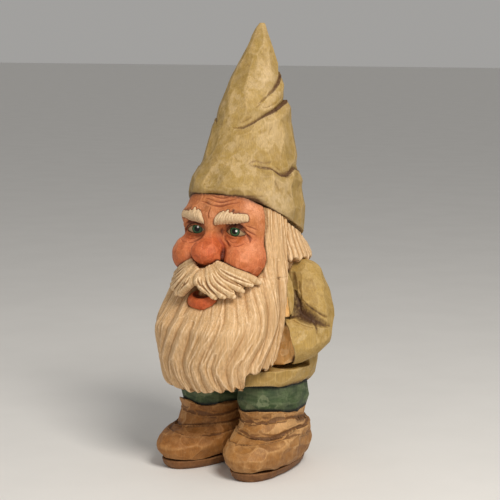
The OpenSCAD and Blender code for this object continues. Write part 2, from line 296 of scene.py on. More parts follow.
class Carving:
    """The mesh of a field, with the cuts made in it and what the paint needs to know."""

    def __init__(self, name, block, field):
        self.name = name
        field = np.broadcast_to(field, block.counts)
        band = 4 * block.cell
        grid = openvdb.FloatGrid(band)
        grid.copyFromArray(np.ascontiguousarray(np.clip(field, -band, band), dtype=np.float32))
        points, quads = grid.convertToQuads(0.0)
        self.points = block.low + points.astype(float) * block.cell
        self.quads = quads.astype(np.int64)
        # Dark marks: stain in the cuts and grooves, together with painted shade where parts meet, in
        # crevices and along folds.
        self.stain_and_shade = np.zeros(len(self.points))
        self.tint = np.zeros(len(self.points))
        self.wash = {}
        self.refresh()
        step = self.normals * 0.5 * block.cell
        rise = sampled(block, field, self.points + step) - sampled(block, field, self.points - step)
        if rise.mean() < 0:
            self.quads = self.quads[:, ::-1]
            self.refresh()

    def refresh(self):
        """Vertex normals for the present shape."""
        corners = self.points[self.quads]
        facing = np.cross(corners[:, 2] - corners[:, 0], corners[:, 3] - corners[:, 1])
        normals = np.zeros_like(self.points)
        for axis in range(3):
            weights = np.repeat(facing[:, axis], 4)
            normals[:, axis] = np.bincount(self.quads.ravel(), weights, len(self.points))
        self.normals = normals / np.maximum(np.linalg.norm(normals, axis=1), 1e-9)[:, None]

    def push(self, amount):
        """Moves every point along its normal."""
        self.points = self.points + self.normals * np.asarray(amount)[..., None]
        self.refresh()

    def averaged(self, values, rounds):
        """Rows of values, one for each point, spread to their neighbours over the mesh."""
        a, b = self.quads, np.roll(self.quads, -1, axis=1)
        a, b = a.ravel(), b.ravel()
        count = np.bincount(a, minlength=len(self.points)) + np.bincount(b, minlength=len(self.points))
        count = np.maximum(count, 1)
        columns = values.copy()
        for _ in range(rounds):
            for i in range(columns.shape[1]):
                column = columns[:, i]
                near = np.bincount(a, column[b], len(column)) + np.bincount(b, column[a], len(column))
                columns[:, i] = near / count
        return columns

    def facets(self, spacing, depth, stroke, long, seed, where=None):
        """Shaves the surface with overlapping flat knife cuts that run along the stroke direction."""
        random = np.random.default_rng(seed)
        candidates = random.permutation(len(self.points))
        seeds = []
        taken = set()
        for k in candidates:
            key = tuple(np.floor(self.points[k] / spacing).astype(int))
            if key in taken:
                continue
            taken.add(key)
            seeds.append(k)
        removed = np.zeros(len(self.points))
        owner = np.zeros(len(self.points))
        reach = spacing * long * 1.3
        for k in seeds:
            centre, facing = self.points[k], self.normals[k]
            offset = self.points - centre
            near = np.nonzero((offset**2).sum(axis=1) < reach**2)[0]
            offset = offset[near]
            agree = self.normals[near] @ facing
            direction = np.array(stroke, float) + random.normal(0, STROKE_SWING, 3)
            direction = direction - facing * (direction @ facing)
            length = np.linalg.norm(direction)
            if length < 0.2:
                direction = np.cross(facing, (1.0, 0.3, 0.2))
                length = np.linalg.norm(direction)
            direction = direction / length
            along = offset @ direction
            across = offset @ np.cross(facing, direction)
            half_long = spacing * long * random.uniform(0.45, 0.75)
            half_wide = spacing * random.uniform(0.6, 0.95)
            deep = depth * random.uniform(0.35, 1.35)
            if where is not None:
                deep = deep * where[k]
            rise = np.minimum(offset @ facing, 0)
            window = deep * ((along / half_long) ** 2 + (across / half_wide) ** 2) ** 2
            shave = (rise + deep - window) * np.clip(2 * agree - 0.6, 0, 1)
            deeper = shave > removed[near]
            removed[near[deeper]] = shave[deeper]
            owner[near[deeper]] = random.uniform(-1, 1)
        self.tint = owner
        self.push(-removed)

    def score(self, path, width, depth, facing=(0, -1, 0), stained=1.0, spread=1.0):
        """Cuts a tapered V groove along a line, seen from the direction that it faces.

        A spread below 1 carries the stain and painted shade further up the two slopes of the groove.
        """
        facing = np.array(facing, float) / np.linalg.norm(facing)
        path = curve(path, GROOVE_POINTS)
        toward = self.normals @ facing
        flat = self.points - np.outer(self.points @ facing, facing)
        line = path - np.outer(path @ facing, facing)
        middle = line.mean(axis=0)
        span = np.linalg.norm(line - middle, axis=1).max() + width
        near = np.nonzero((np.linalg.norm(flat - middle, axis=1) < span) & (toward > 0.1))[0]
        gap = np.full(len(near), FAR)
        taper = np.zeros(len(near))
        for k in range(len(line) - 1):
            run = line[k + 1] - line[k]
            t = np.clip((flat[near] - line[k]) @ run / max(run @ run, 1e-9), 0, 1)
            here = np.linalg.norm(flat[near] - line[k] - t[:, None] * run, axis=1)
            closer = here < gap
            gap[closer] = here[closer]
            taper[closer] = np.sin(np.pi * (k + t[closer]) / (len(line) - 1)) ** 0.5
        cutting = np.clip(1 - gap / (width / 2 * np.maximum(taper, 0.05)), 0, 1) * taper
        self.stain_and_shade[near] = np.maximum(self.stain_and_shade[near], cutting**spread * stained)
        amount = np.zeros(len(self.points))
        amount[near] = depth * cutting
        self.push(-amount)

    def comb(self, combs, s):
        """Cuts the gouge strokes of several combs at once; s runs round the piece."""
        cutting = sum(comb.at(s, self.points[:, 2]) for comb in combs)
        self.stain_and_shade = np.maximum(self.stain_and_shade, np.clip(cutting / 1.3, 0, 1) ** 1.3 * COMB_STAIN)
        sideways = self.normals * (1, 1, 0)
        lengths = np.maximum(np.linalg.norm(sideways, axis=1), 0.3)[:, None]
        self.points = self.points - sideways / lengths * cutting[:, None]
        self.refresh()

    def crease(self, height, strength, tuck, swell, stained=0.85):
        """Folds the surface along the line where height is 0: tucked in above it, swollen below."""
        above = np.exp(-np.clip(height, 0, None) / 3.5)
        below = np.exp(-(((height + 4.5) / 3.4) ** 2))
        line = np.exp(-((height / 0.8) ** 2)) + 0.3 * np.exp(-(((height - 1.6) / 1.8) ** 2))
        # Stain and painted shade along the line of the fold.
        self.stain_and_shade = np.maximum(self.stain_and_shade, stained * line * strength)
        self.push(strength * np.where(height > 0, -tuck * above, swell * below))

    def near(self, shape, **where):
        """The field of a shape at the piece's own points."""
        return np.broadcast_to(shape(Spots(self.points), **where), len(self.points))

    def beside(self, gap, reach, strength=1.0):
        """Darkens the surface with painted shade where gap, the distance to a neighbour, is small."""
        self.stain_and_shade = np.maximum(self.stain_and_shade, strength * np.exp(-np.clip(gap, 0, None) / reach))

    def against(self, shape, reach, strength=1.0, **where):
        """Darkens the surface with painted shade where it comes close to a neighbour of that shape."""
        self.beside(self.near(shape, **where), reach, strength)

    def rub_and_highlight(self, spots):
        """Marks where the paint is worn and a highlight is painted, from rows of middle, radii and
        strength.
        """
        wear_and_highlight = np.zeros(len(self.points))
        for middle, radii, strength in spots:
            gap = np.linalg.norm((self.points - middle) / radii, axis=1)
            wear_and_highlight = np.maximum(wear_and_highlight, np.clip(1.25 - gap, 0, 1) * strength)
        self.wash["worn_and_highlit"] = np.clip(wear_and_highlight, 0, 1)

    def crevice(self, a, b, width, depth):
        """Deepens the valley in which two parts of a surface meet, and darkens it with stain and painted
        shade.
        """
        valley = np.exp(-np.clip(a + b, 0, None) / width)
        self.stain_and_shade = np.maximum(self.stain_and_shade, valley)
        self.push(-depth * valley)

    def cavities(self):
        """How hollow the surface is at each point, finely and broadly, in millimetres."""
        fine = self.averaged(self.points, max(int(3 / FINE), 1))
        broad = self.averaged(fine, max(int(22 / FINE), 1))
        hollow_fine = ((fine - self.points) * self.normals).sum(axis=1)
        hollow_broad = ((broad - self.points) * self.normals).sum(axis=1)
        return hollow_fine, hollow_broad

    def finish(self, node, slot, material):
        """Makes the Blender object, moves it into the CAD frame, hangs it from the root body and hides its
        CAD node.
        """
        hollow_fine, hollow_broad = self.cavities()
        mesh = bpy.data.meshes.new(self.name)
        points = (self.points + (0, STANCE_Y, 0)) * MM
        mesh.vertices.add(len(points))
        mesh.vertices.foreach_set("co", points.astype(np.float32).ravel())
        mesh.loops.add(self.quads.size)
        mesh.loops.foreach_set("vertex_index", self.quads.astype(np.int32).ravel())
        mesh.polygons.add(len(self.quads))
        mesh.polygons.foreach_set("loop_start", np.arange(0, self.quads.size, 4, dtype=np.int32))
        mesh.polygons.foreach_set("use_smooth", np.ones(len(self.quads), bool))
        mesh.update(calc_edges=True)
        values = {
            "stain_and_shade": self.stain_and_shade,
            "tint": self.tint,
            "hollow": np.clip(hollow_fine / 0.12, -1, 1),
            "shade": np.clip(hollow_broad / 0.8, -1, 1),
            **self.wash,
        }
        for name, column in values.items():
            attribute = mesh.attributes.new(name, "FLOAT", "POINT")
            attribute.data.foreach_set("value", column.astype(np.float32))
        mesh.validate()
        piece = bpy.data.objects.new(self.name, mesh)
        bpy.context.scene.collection.objects.link(piece)
        mesh.materials.append(material)
        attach(piece, "root")
        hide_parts(node)


def carve(name, low, high, cell, shape, side=None):
    """A piece cut from a block, or one of a pair whose block is given for the left side."""
    if side is None:
        block = Block(low, high, cell)
        return Carving(name, block, shape(block))
    block = half_block(side, low, high, cell)
    return Carving(name, block, shape(block, side))


# ---------------------------------------------------------------- shapes


def local(block, side, x=0.0, turn=0.0):
    """The block in the axes of a piece that stands at x on one side and is turned outward."""
    view = copy.copy(block)
    across = side * block.x - x
    view.x = across
    if turn:
        angle = math.radians(turn)
        view.x = across * math.cos(angle) + block.y * math.sin(angle)
        view.y = block.y * math.cos(angle) - across * math.sin(angle)
    return view


def slab(block, low=None, high=None):
    """The space between two heights."""
    field = block.z * 0 - FAR
    if low is not None:
        field = np.maximum(field, low - block.z)
    if high is not None:
        field = np.maximum(field, block.z - high)
    return field


HAT = Rings(
    [
        (139.0, 5.8, 30.6, 32.2, 2.4, BRIM_SLOPE),
        (140.5, 5.8, 31.5, 33.2, 2.4, 0.53),
        (145, 5.8, 31.7, 33.0, 2.4, 0.50),
        (151, 5.8, 31.2, 31.8, 2.4, 0.42),
        (157, 5.4, 30.2, 30.4, 2.3, 0.30),
        (164, 5.6, 28.7, 28.7, 2.2, 0.22),
        (171, 6.8, 26.9, 26.9, 2.1, 0.16),
        (180, 8.4, 25.3, 25.3, 2.1, 0.12),
        (190, 9.8, 22.9, 22.9, 2.1, 0.08),
        (198, 11, 20.9, 20.9, 2.1, 0.05),
        (207, 11.4, 18.2, 18.2, 2.1, 0.02),
        (215, 12.4, 15.6, 15.6, 2.1, 0),
        (223, 13.8, 12.9, 12.9, 2.1, 0),
        (231, 15.6, 9.9, 9.9, 2.1, 0),
        (240, 17.2, 6.3, 6.3, 2.1, 0),
        (247, 18.4, 3.4, 3.4, 2.1, 0),
        (HAT_TOP, 18.8, 1.4, 1.4, 2.1, 0),
    ],
    soften=1.6,
)


def below_hat(block):
    """How far the points are above the plane of the brim's underside."""
    return HAT.field(block)[1] - HAT.z[0] + 0.05


def hat_shape(block):
    """The hat, drawn in a little where its brim hangs low at the sides and the back."""
    drawn_in = np.interp(block.z, [120, 128, 136, 147], [3.4, 3.1, 2.4, 0]).astype(np.float32)
    return HAT.field(block)[0] + drawn_in


LOCK_X = 23.8
SKULL = Rings(
    [
        (102, -8, 23, 17, 2.4, 0),
        (111, -8, 25, 20, 2.4, 0),
        (120, -8, 26.5, 21, 2.6, 0),
        (130, -8, 26.6, 21.5, 3.0, 0),
        (138, -8, 26.6, 22.4, 3.4, 0),
        (145, -8, 26.0, 23.2, 3.3, 0),
        (149, -8, 25.0, 21.6, 3.0, 0),
        (153, -8, 24.2, 19.6, 2.8, 0),
        (158, -8, 23.6, 18.0, 2.6, 0),
        (166, -8, 23, 17, 2.4, 0),
    ]
)
NOSE = (0.4, -34.4, 125.4)
NOSE_RADII = (9.0, 8.6, 7.2)
CHEEK = (16.6, -23.0, 121.4)
EYE = (13.3, -20.6, 136.6)
EYE_RADII = (9.5, 6.3, 7.0)
LIDS = {"middle": 13.6, "half": 6.4, "level": 135.8, "up": 2.8, "down": 1.9}


def nose_shape(block):
    """The ball of the nose with its two wings."""
    nose = ball(block, NOSE, NOSE_RADII)
    for side in (1, -1):
        wing = ball(local(block, side), (7.2, -32.8, 123.4), (3.0, 4.2, 4.0))
        nose = blend(nose, wing, 1.2)
    return nose


def cheek_shape(block):
    """The two round cheeks."""
    left, right = (ball(local(block, side), CHEEK, (13.0, 12.4, 11.8)) for side in (1, -1))
    return np.minimum(left, right)


def eyeball(block, side):
    """The flattened ball of one eye."""
    return ball(local(block, side), EYE, EYE_RADII)


def eye_opening(view):
    """The almond between the lids of the left eye, seen from the front."""
    t = (view.x - LIDS["middle"]) / LIDS["half"]
    arch = 1 - np.abs(t) ** 2.2
    tilt = -0.4 * t
    top = LIDS["level"] + LIDS["up"] * arch + tilt
    low = LIDS["level"] - LIDS["down"] * arch + tilt
    gap = np.maximum(view.z - top, low - view.z)
    return np.maximum(gap, view.y - EYE[1])


def face_without_nose(block):
    """The skull with its brow, eye sockets, lids and the bags under the eyes."""
    field = SKULL.field(block)[0]
    ridge_line = [(0, -31.5, 128), (0, -29.5, 136), (0, -28, 144), (0, -27, 149)]
    bridge = tube(block, ridge_line, [5.5, 4.2, 4.6, 4])
    field = blend(field, bridge, 3.0)
    for side in (1, -1):
        view = local(block, side)
        ridge = tube(view, [(5, -27.8, 144.0), (13, -27.2, 145.2), (21, -23.0, 143.6)], [3.2, 3.7, 3.1])
        field = blend(field, ridge, 3.0)
        socket = ball(view, (13.4, -33.8, 136.6), (10.4, 9.6, 6.4))
        field = cut(field, socket, 2.0)
        field = blend(field, eyeball(block, side) - 0.9, 0.8)
        bag = tube(view, [(8, -27.4, 131.4), (13, -27.4, 130.0), (19, -25.2, 131.2)], [1.5, 2.2, 1.5])
        field = blend(field, bag, 1.2)
        field = cut(field, eye_opening(view), 0.5)
    return field


def face_shape(block):
    """The whole head before the hat and the hair are fitted to it."""
    face = face_without_nose(block)
    with_nose = blend(face, nose_shape(block), 2.6)
    with_cheeks = blend(face, cheek_shape(block), 2.4)
    return np.minimum(with_nose, with_cheeks)


def brow_strands():
    """The tapered tufts of the left eyebrow, as (path, radii)."""
    strands = []
    count = 11
    for k in range(count):
        t = k / (count - 1)
        x = 3.9 + 17.4 * t
        y = -30.9 + x**2 / 80
        low = 141.0 + 0.9 * t + 0.5 * math.sin(math.pi * t) + 1.3 * t**4
        high = 146.4 + 1.2 * math.sin(math.pi * t) + 0.4 * math.sin(2.7 * k) - 1.9 * t**4
        lean = 3.2 - 3.6 * t
        middle = (x + 0.6 * lean, y - 1.6, (low + high) / 2)
        path = curve([(x, y - 0.6, low), middle, (x + lean, y + 0.3, high)], 9)
        radii = 1.5 * np.sin(np.linspace(0.6, 2.6, 9)) ** 0.6
        strands.append((path, radii))
    return strands


def brow_shape(block, side):
    """One eyebrow, a soft bar under its tufts."""
    view = local(block, side)
    field = tube(view, [(6, -29.8, 143.8), (12, -29.2, 144.6), (20, -26.2, 144.3)], [2.6, 3.1, 2.5])
    for path, radii in brow_strands():
        field = blend(field, tube(view, path, radii), 0.3)
    return field


def moustache_strands(side):
    """The curved tufts of one half of the moustache, from the innermost to the topmost."""
    outline = [
        (3.8, -43.0, 109.4), (8.6, -43.8, 105.0), (14.0, -43.0, 102.2), (19.4, -40.6, 102.8),
        (24.2, -37.0, 105.2), (27.8, -32.4, 108.0), (30.2, -27.4, 110.8),
    ]
    count = 8
    tips = curve(outline, count)
    strands = []
    drop, reach = (0, 1) if side > 0 else (-2.0, 0.9)
    for k in range(count):
        t = k / (count - 1)
        x, y, z = tips[k] + (0, 0, drop * t**2 + 0.8 * math.sin(2.3 * k + side))
        x = x * reach
        root = (0.6 + 8.4 * t, -40.8 + 4.2 * t, 114.6 + 5.2 * t)
        middle = (0.5 * x + 1.6 * t, 0.5 * (y + root[1]) - 2.5, 0.5 * (z + root[2]) - 1.4 + 2.2 * t)
        path = curve([root, middle, (x, y, z)], 11)
        along = np.linspace(0, 1, 11)
        size = 2.9 + 0.4 * math.sin(1.9 * k + side)
        radii = size * np.interp(along, [0, 0.25, 0.6, 0.9, 1], [0.5, 0.8, 1.0, 0.8, 0.45])
        strands.append((path, radii))
    return strands


def moustache_shape(block):
    """Both halves of the moustache, hollowed where the nose rests on it."""
    field = None
    for side in (1, -1):
        view = local(block, side)
        for path, radii in moustache_strands(side):
            strand = tube(view, path, radii)
            field = strand if field is None else blend(field, strand, 0.2)
        body = tube(view, [(1, -37.5, 112.5), (11, -37.2, 109.5), (21, -33, 109)], [4.2, 5.0, 3.2])
        field = blend(field, body, 0.5)
    return cut(field, ball(block, NOSE, NOSE_RADII) - 0.1, 0.3)


LIP = (0.8, -36.8, 98.2)
MOUTH = (0.8, -42.0, 104.9)
MOUTH_RADII = (7.2, 8.6, 4.2)


def lip_shape(block):
    """The lower lip, hollowed at its top where the mouth opens."""
    lip = ball(block, LIP, (10.6, 8.0, 6.6))
    mouth = ball(block, MOUTH, MOUTH_RADII)
    return np.maximum(cut(lip, mouth, 1.2), block.z - 104.5)


CURTAIN = Rings(
    [
        (40, -33, 20, 9, 2.4, 0),
        (46, -31.5, 25, 12.5, 2.5, 0),
        (51, -28.5, 30, 17.5, 2.5, 0),
        (57, -26, 33.4, 22.6, 2.4, 0),
        (66, -24, 35.2, 27.4, 2.4, 0),
        (76, -22, 36.5, 30, 2.4, 0),
        (84, -21, 37, 30.8, 2.4, 0),
        (92, -19, 36.5, 27.5, 2.4, 0),
        (100, -16, 36, 23.5, 2.4, 0),
        (108, -11, 35, 23, 2.4, 0),
        (116, -4, 33.8, 26.0, 2.3, 0),
        (128, -1, 32.4, 24.8, 2.3, 0),
        (140, 0, 31.2, 22.5, 2.3, 0),
        (150, 0, 30.4, 21.5, 2.3, 0),
        (160, 0, 30.0, 21.0, 2.3, 0),
    ]
)
LAP = 0.8
TUCK = 0.3
HAIR_AXIS_Y = -2
HAIR_RADIUS = 33


def around(x, y):
    """Distance round the hair from the middle of the beard, at a nominal radius."""
    return HAIR_RADIUS * np.arctan2(x, HAIR_AXIS_Y - y)


def wave(z):
    """How far the strands swing sideways at a height."""
    amount = np.interp(z, [44, 52, 64, 86, 102, 120], [3.4, 3.8, 5.0, 3.4, 1.2, 0.3])
    return amount * np.sin((z - 78) / 11.5)


class Comb:
    """Gouge strokes over an unrolled body of hair: s runs round it and z runs up it."""

    step = 0.2

    def __init__(self, s_range, z_range, seed):
        self.s_low, self.z_low = s_range[0], z_range[0]
        counts = [int((r[1] - r[0]) / self.step) + 1 for r in (s_range, z_range)]
        self.depth = np.zeros(counts)
        self.random = np.random.default_rng(seed)

    def stroke(self, s, top, bottom, half_width, depth, sharpness):
        """One tapered gouge stroke that follows the wave."""
        first = max(int((bottom - self.z_low) / self.step), 0)
        rows = np.arange(first, int((top - self.z_low) / self.step))
        rows = rows[rows < self.depth.shape[1]]
        z = self.z_low + rows * self.step
        t = (z - bottom) / (top - bottom)
        taper = np.sin(np.pi * np.clip(t, 0, 1)) ** 0.45
        drift = self.random.normal(0, 0.06)
        middle = s + wave(z) + drift * (z - (top + bottom) / 2)
        reach = int(half_width / self.step) + 2
        offsets = np.arange(-reach, reach + 1)
        columns = np.rint((middle - self.s_low) / self.step).astype(int)[:, None] + offsets
        gap = np.abs(self.s_low + columns * self.step - middle[:, None])
        width = half_width * (0.35 + 0.65 * taper)[:, None]
        cutting = depth * taper[:, None] * np.clip(1 - gap / width, 0, 1) ** sharpness
        inside = (columns >= 0) & (columns < self.depth.shape[0])
        columns = np.clip(columns, 0, self.depth.shape[0] - 1)
        rows = np.broadcast_to(rows[:, None], columns.shape)
        np.maximum.at(self.depth, (columns[inside], rows[inside]), cutting[inside])

    def row(self, s_range, spacing, top, length, half_width, depth, sharpness=1.5):
        """Strokes side by side, each starting near the given top."""
        s = s_range[0]
        while s < s_range[1]:
            start = top + self.random.uniform(-0.16, 0.16) * length
            reach = length * self.random.uniform(0.6, 1.25)
            size = self.random.uniform(0.55, 1.25)
            self.stroke(s, start, start - reach, half_width * size, depth * size, sharpness)
            s += spacing * self.random.uniform(0.75, 1.25)

    def at(self, s, z):
        """The depth cut at points of the surface."""
        i = np.clip((s - self.s_low) / self.step, 0, self.depth.shape[0] - 1.001)
        j = np.clip((z - self.z_low) / self.step, 0, self.depth.shape[1] - 1.001)
        i0, j0 = i.astype(int), j.astype(int)
        u, v = i - i0, j - j0
        near = self.depth[i0, j0] * (1 - u) + self.depth[i0 + 1, j0] * u
        far = self.depth[i0, j0 + 1] * (1 - u) + self.depth[i0 + 1, j0 + 1] * u
        return near * (1 - v) + far * v


def beard_combs():
    """The wide and the fine gouge strokes of the side locks and the beard."""
    wide = Comb((-75, 75), (38, 165), seed=4)
    fine = Comb((-75, 75), (38, 165), seed=5)
    for top in (66, 92, 116):
        wide.row((-60, 60), 8.5, top, 46, 3.4, 1.9, 1.2)
    for top in (62, 82, 102, 120):
        wide.row((-60, 60), 5.4, top, 38, 1.9, 0.8)
    wide.row((-60, 60), 4.8, 74, 32, 2.2, 1.3)
    for top in (150, 168):
        wide.row((-70, 70), 4.2, top, 38, 1.8, 0.7)
    for top in (56, 70, 84, 98, 112, 126, 140, 154, 166):
        fine.row((-70, 70), 3.2, top, 38, 0.8, 0.2, 1.2)
    return wide, fine


def strand_edge(s, z):
    """Height of the beard's lower edge: two stepped sides and a ragged row of strand ends."""
    base = s - wave(z)
    edge = np.interp(
        base,
        [-50, -44, -39, -35, -30, -24, -12, -3, 6, 18, 23, 25.8, 27.4, 28.8, 36, 40, 43, 45.5, 48, 50],
        [91, 80, 65, 55, 51.5, 49.8, 48.6, 48, 48.8, 50.2, 51, 52.6, 56.5, 60, 60.8, 62, 66, 72, 82, 92],
    )
    notch = np.abs(((base + 1.2 * np.sin(base / 3.1)) / 5.6) % 1 - 0.5) * 2
    return edge + 4.5 * np.clip(notch - 0.4, 0, 1) ** 1.4


def curtain_back(block):
    """The y at which the curtain of hair ends in front of the arms and the back hair."""
    return np.interp(block.z, [84, 95, 111, 130, 150], [-9.6, -7.4, -4.9, -1.7, 1.4]).astype(np.float32)


def lock_front(block):
    """The y of the front edge of the side locks."""
    return np.interp(block.z, [110, 116, 128, 148], [-22, -19.4, -16.6, -14.8]).astype(np.float32)


def curtain_shape(block):
    """The side locks and the beard as one body of hair that hangs around the face."""
    field = CURTAIN.field(block)[0]
    s = around(block.x, block.y)
    edge = strand_edge(s, np.clip(block.z, 44, 95))
    return meet(field, 0.75 * (edge - block.z), 1.6)


def tucked(height):
    """How far an end of hair is drawn in, from nothing at -LAP to TUCK at LAP."""
    return TUCK * np.clip((height + LAP) / (2 * LAP), 0, 1)


def beard_shape(block):
    """The part of the curtain below the head's seat, in front of the coat."""
    hair = curtain_shape(block) + tucked(block.z - NECK_Z)
    field = np.maximum(hair, block.y - curtain_back(block))
    field = cut(field, np.maximum(block.z - LEDGE_Z, APRON_Y - block.y), 0.5)
    throat = SKULL.field(block)[0] + 1.5
    return np.maximum(cut(field, throat), slab(block, high=NECK_Z + LAP))


def side_lock_shape(block, side):
    """The lock of hair in front of one ear."""
    view = local(block, side)
    ends = np.maximum(lock_front(block) - block.y, block.y - curtain_back(block))
    hair = curtain_shape(block) + tucked(NECK_Z - block.z)
    field = meet(hair, ends, 0.6)
    field = meet(field, LOCK_X - view.x, 0.5)
    return np.maximum(field, slab(block, low=NECK_Z - LAP))


BACK_AXIS_Y = 6
BACK_HAIR = Rings(
    [
        (111, 6, 32.0, 28.6, 2.3, 0),
        (116, 7, 34.6, 31.0, 2.3, 0),
        (120, 7, 36.0, 32.4, 2.3, 0),
        (125, 7, 33.8, 30.4, 2.3, 0),
        (130, 6.5, 31.2, 28.0, 2.3, 0),
        (136, 6, 29.6, 26.4, 2.3, 0),
        (146, 6, 28.6, 25.6, 2.3, 0),
        (162, 6, 28.0, 25.0, 2.3, 0),
    ]
)


def back_hair_shape(block):
    """The hair behind the side locks, whose ragged ends turn up over the collar."""
    shell = BACK_HAIR.field(block)[0]
    s = HAIR_RADIUS * np.arctan2(block.x, block.y - BACK_AXIS_Y)
    ends = 113.0 + 2.6 * np.abs(np.sin(s / 2.3 + 0.6 * np.sin(s / 5))) + 0.08 * np.abs(s)
    shell = meet(shell, 0.7 * (ends - block.z), 2.0)
    core = np.maximum(ball(block, (0, 7, 125), (30, 26, 60)), slab(block, low=NECK_Z + 0.1, high=158))
    beside_lock = curtain_back(block) + 0.3 + 0 * block.x
    front = np.where(np.abs(block.x) > LOCK_X + 0.2, beside_lock, 2.6).astype(np.float32)
    return np.maximum(np.minimum(shell, core), front - block.y)


LEDGE_Z = 60.5
CHEST_X = 27
COAT_FRONT = -4.5
PANEL_FRONT = -8.9
PANEL_BACK = -4.7
FOREARM_TOP = 88.4
ELBOW_BACK = 8
COAT = Rings(
    [
        (HEM_Z, 3, 35, 34, 2.3, 0),
        (50.5, 3.2, 37.5, 35, 2.3, 0),
        (54, 3.6, 39.8, 35.5, 2.3, 0),
        (59, 4, 41, 35.5, 2.3, 0),
        (64, 4.4, 40.6, 34.5, 2.3, 0),
        (70, 5, 39.5, 33, 2.3, 0),
        (88, 6, 38, 31, 2.2, 0),
        (100, 6.5, 36, 29, 2.2, 0),
        (108, 6.5, 33, 27, 2.2, 0),
        (113, 6.5, 29, 24, 2.2, 0),
    ]
)


def coat_shape(block):
    """The coat, cut back where the beard, the arms and the brown front lie against it."""
    field = COAT.field(block)[0]
    sweep = 0.8 * np.sin(block.x / 9 + 0.4) + 0.10 * (block.y + 10)
    field = np.maximum(field, HEM_Z + 0.8 - sweep - block.z)
    chest = np.maximum(block.y - COAT_FRONT, LEDGE_Z - block.z)
    field = cut(field, chest, 0.5)
    for side in (1, -1):
        view = local(block, side)
        hollow = np.maximum(np.maximum(CHEST_X - view.x, LEDGE_Z - block.z), block.z - FOREARM_TOP)
        hollow = np.maximum(hollow, block.y - ELBOW_BACK)
        field = cut(field, hollow, 1.0)
        field = cut(field, arm_shape(block, side) - 0.05, 0.3)
    return field


SLEEVE = [
    (30, 13, 113), (32.5, 13, 107), (36, 12.5, 98), (39.2, 10.5, 89),
    (40.3, 6, 80.5), (37.5, 1.0, 76.2), (33.2, -4.2, 74.6),
]
SLEEVE_RADII = [6.5, 10.6, 12.2, 13.0, 13.4, 13.4, 12.8]
FOREARM = np.array([-0.62, -0.76, -0.2]) / np.linalg.norm([-0.62, -0.76, -0.2])
CUFF = np.array([32.6, -5.0, 74.4])


def beyond(block, point, direction):
    """Distance past a plane through a point, square to a direction."""
    offset = [g - p for g, p in zip((block.x, block.y, block.z), point)]
    return sum(o * float(d) for o, d in zip(offset, direction))


def arm_shape(block, side):
    """One sleeve, from the shoulder round the elbow to the open cuff."""
    view = local(block, side)
    field = tube(view, SLEEVE, SLEEVE_RADII)
    upper = tube(view, SLEEVE[1:4], [11.5, 12.6, 13.2])
    lower = tube(view, SLEEVE[4:], [13.6, 13.6, 13.0])
    field = blend(field, blend(upper, lower, 1.5), 1.0)
    field = meet(field, LEDGE_Z + 0.2 - block.z, 1.0)
    field = meet(field, CHEST_X + 0.2 - view.x)
    field = meet(field, beyond(view, CUFF, FOREARM), 0.8)
    bore = tube(view, [CUFF - 6 * FOREARM, CUFF + 6 * FOREARM], [11.2, 11.8])
    bore = meet(bore, -beyond(view, CUFF - 4 * FOREARM, FOREARM))
    return cut(field, bore, 0.4)


def mitten_shape(block, side):
    """The part of a mitten that shows between the cuff and the beard."""
    view = local(block, side)
    middle = [CUFF + reach * FOREARM for reach in (-3.8, 1.5, 14)]
    field = tube(view, middle, [10.9, 12.4, 11.6])
    field = meet(field, np.maximum(PANEL_FRONT + 0.1 - block.y, LEDGE_Z + 0.3 - block.z), 1.6)
    return np.maximum(field, CHEST_X + 0.05 - view.x)


def front_shape(block):
    """The brown front of the coat, a panel between the beard and the arms."""
    field = COAT.field(block)[0] + 0.2
    panel = np.maximum(PANEL_FRONT - block.y, block.y - PANEL_BACK)
    low = np.maximum(LEDGE_Z + 0.2 - block.z, np.abs(block.x) - (CHEST_X - 0.05))
    high = FOREARM_TOP + 0.1 - block.z
    return np.maximum(field, np.maximum(panel, np.minimum(low, high)))


def trousers_shape(block):
    """Two short oval legs joined under the coat, gathered where they enter the boots."""
    legs = Rings(
        [
            (BOOT_TOP - 3.5, 0.6, 16.6, 20.0, 2.2, 0),
            (BOOT_TOP + 1, 0.8, 17.4, 21.4, 2.2, 0),
            (BOOT_TOP + 5, 1.0, 18.4, 22.6, 2.2, 0),
            (HEM_Z + 3, 0.8, 17.8, 21.8, 2.2, 0),
        ],
        soften=1.2,
    )
    field = None
    for side in (1, -1):
        leg = legs.field(local(block, side, LEG_X))[0]
        field = leg if field is None else np.minimum(field, leg)
    seat = np.maximum(np.abs(block.x) - LEG_X, np.abs(block.y) - 13)
    seat = np.maximum(seat, np.maximum(43 - block.z, block.z - HEM_Z - 2))
    return np.minimum(field, seat)


TOE_OUT = 9
BOOT = Rings(
    [
        (SOLE_TOP + 0.1, -4.4, 15.6, 33.4, 2.4, 0),
        (7.0, -4.2, 17.0, 35.2, 2.4, 0),
        (9.5, -4.2, 18.0, 36.6, 2.4, 0),
        (13, -4.0, 18.4, 37.0, 2.4, 0),
        (17, -1.5, 18.3, 34.0, 2.4, 0),
        (20.5, 0.4, 18.0, 29.9, 2.3, 0),
        (23.5, 1.5, 17.8, 26.5, 2.2, 0),
        (27, 1.8, 17.8, 24.4, 2.2, 0),
        (31, 1.6, 18.0, 23.2, 2.1, 0),
        (35, 1.0, 18.5, 23.4, 2.1, 0),
        (37.6, 1.0, 18.6, 23.4, 2.1, 0),
    ],
    soften=1.6,
)


def boot_shape(block, side):
    """One boot, rounded at the toe, with a wavy top edge."""
    view = local(block, side, LEG_X, TOE_OUT)
    field = BOOT.field(view)[0]
    turn = np.arctan2(view.x, -view.y)
    top = BOOT_TOP + 0.5 + 0.9 * np.sin(3 * turn + 0.6) + 0.5 * np.sin(5 * turn)
    return meet(field, block.z - top, 1.4)


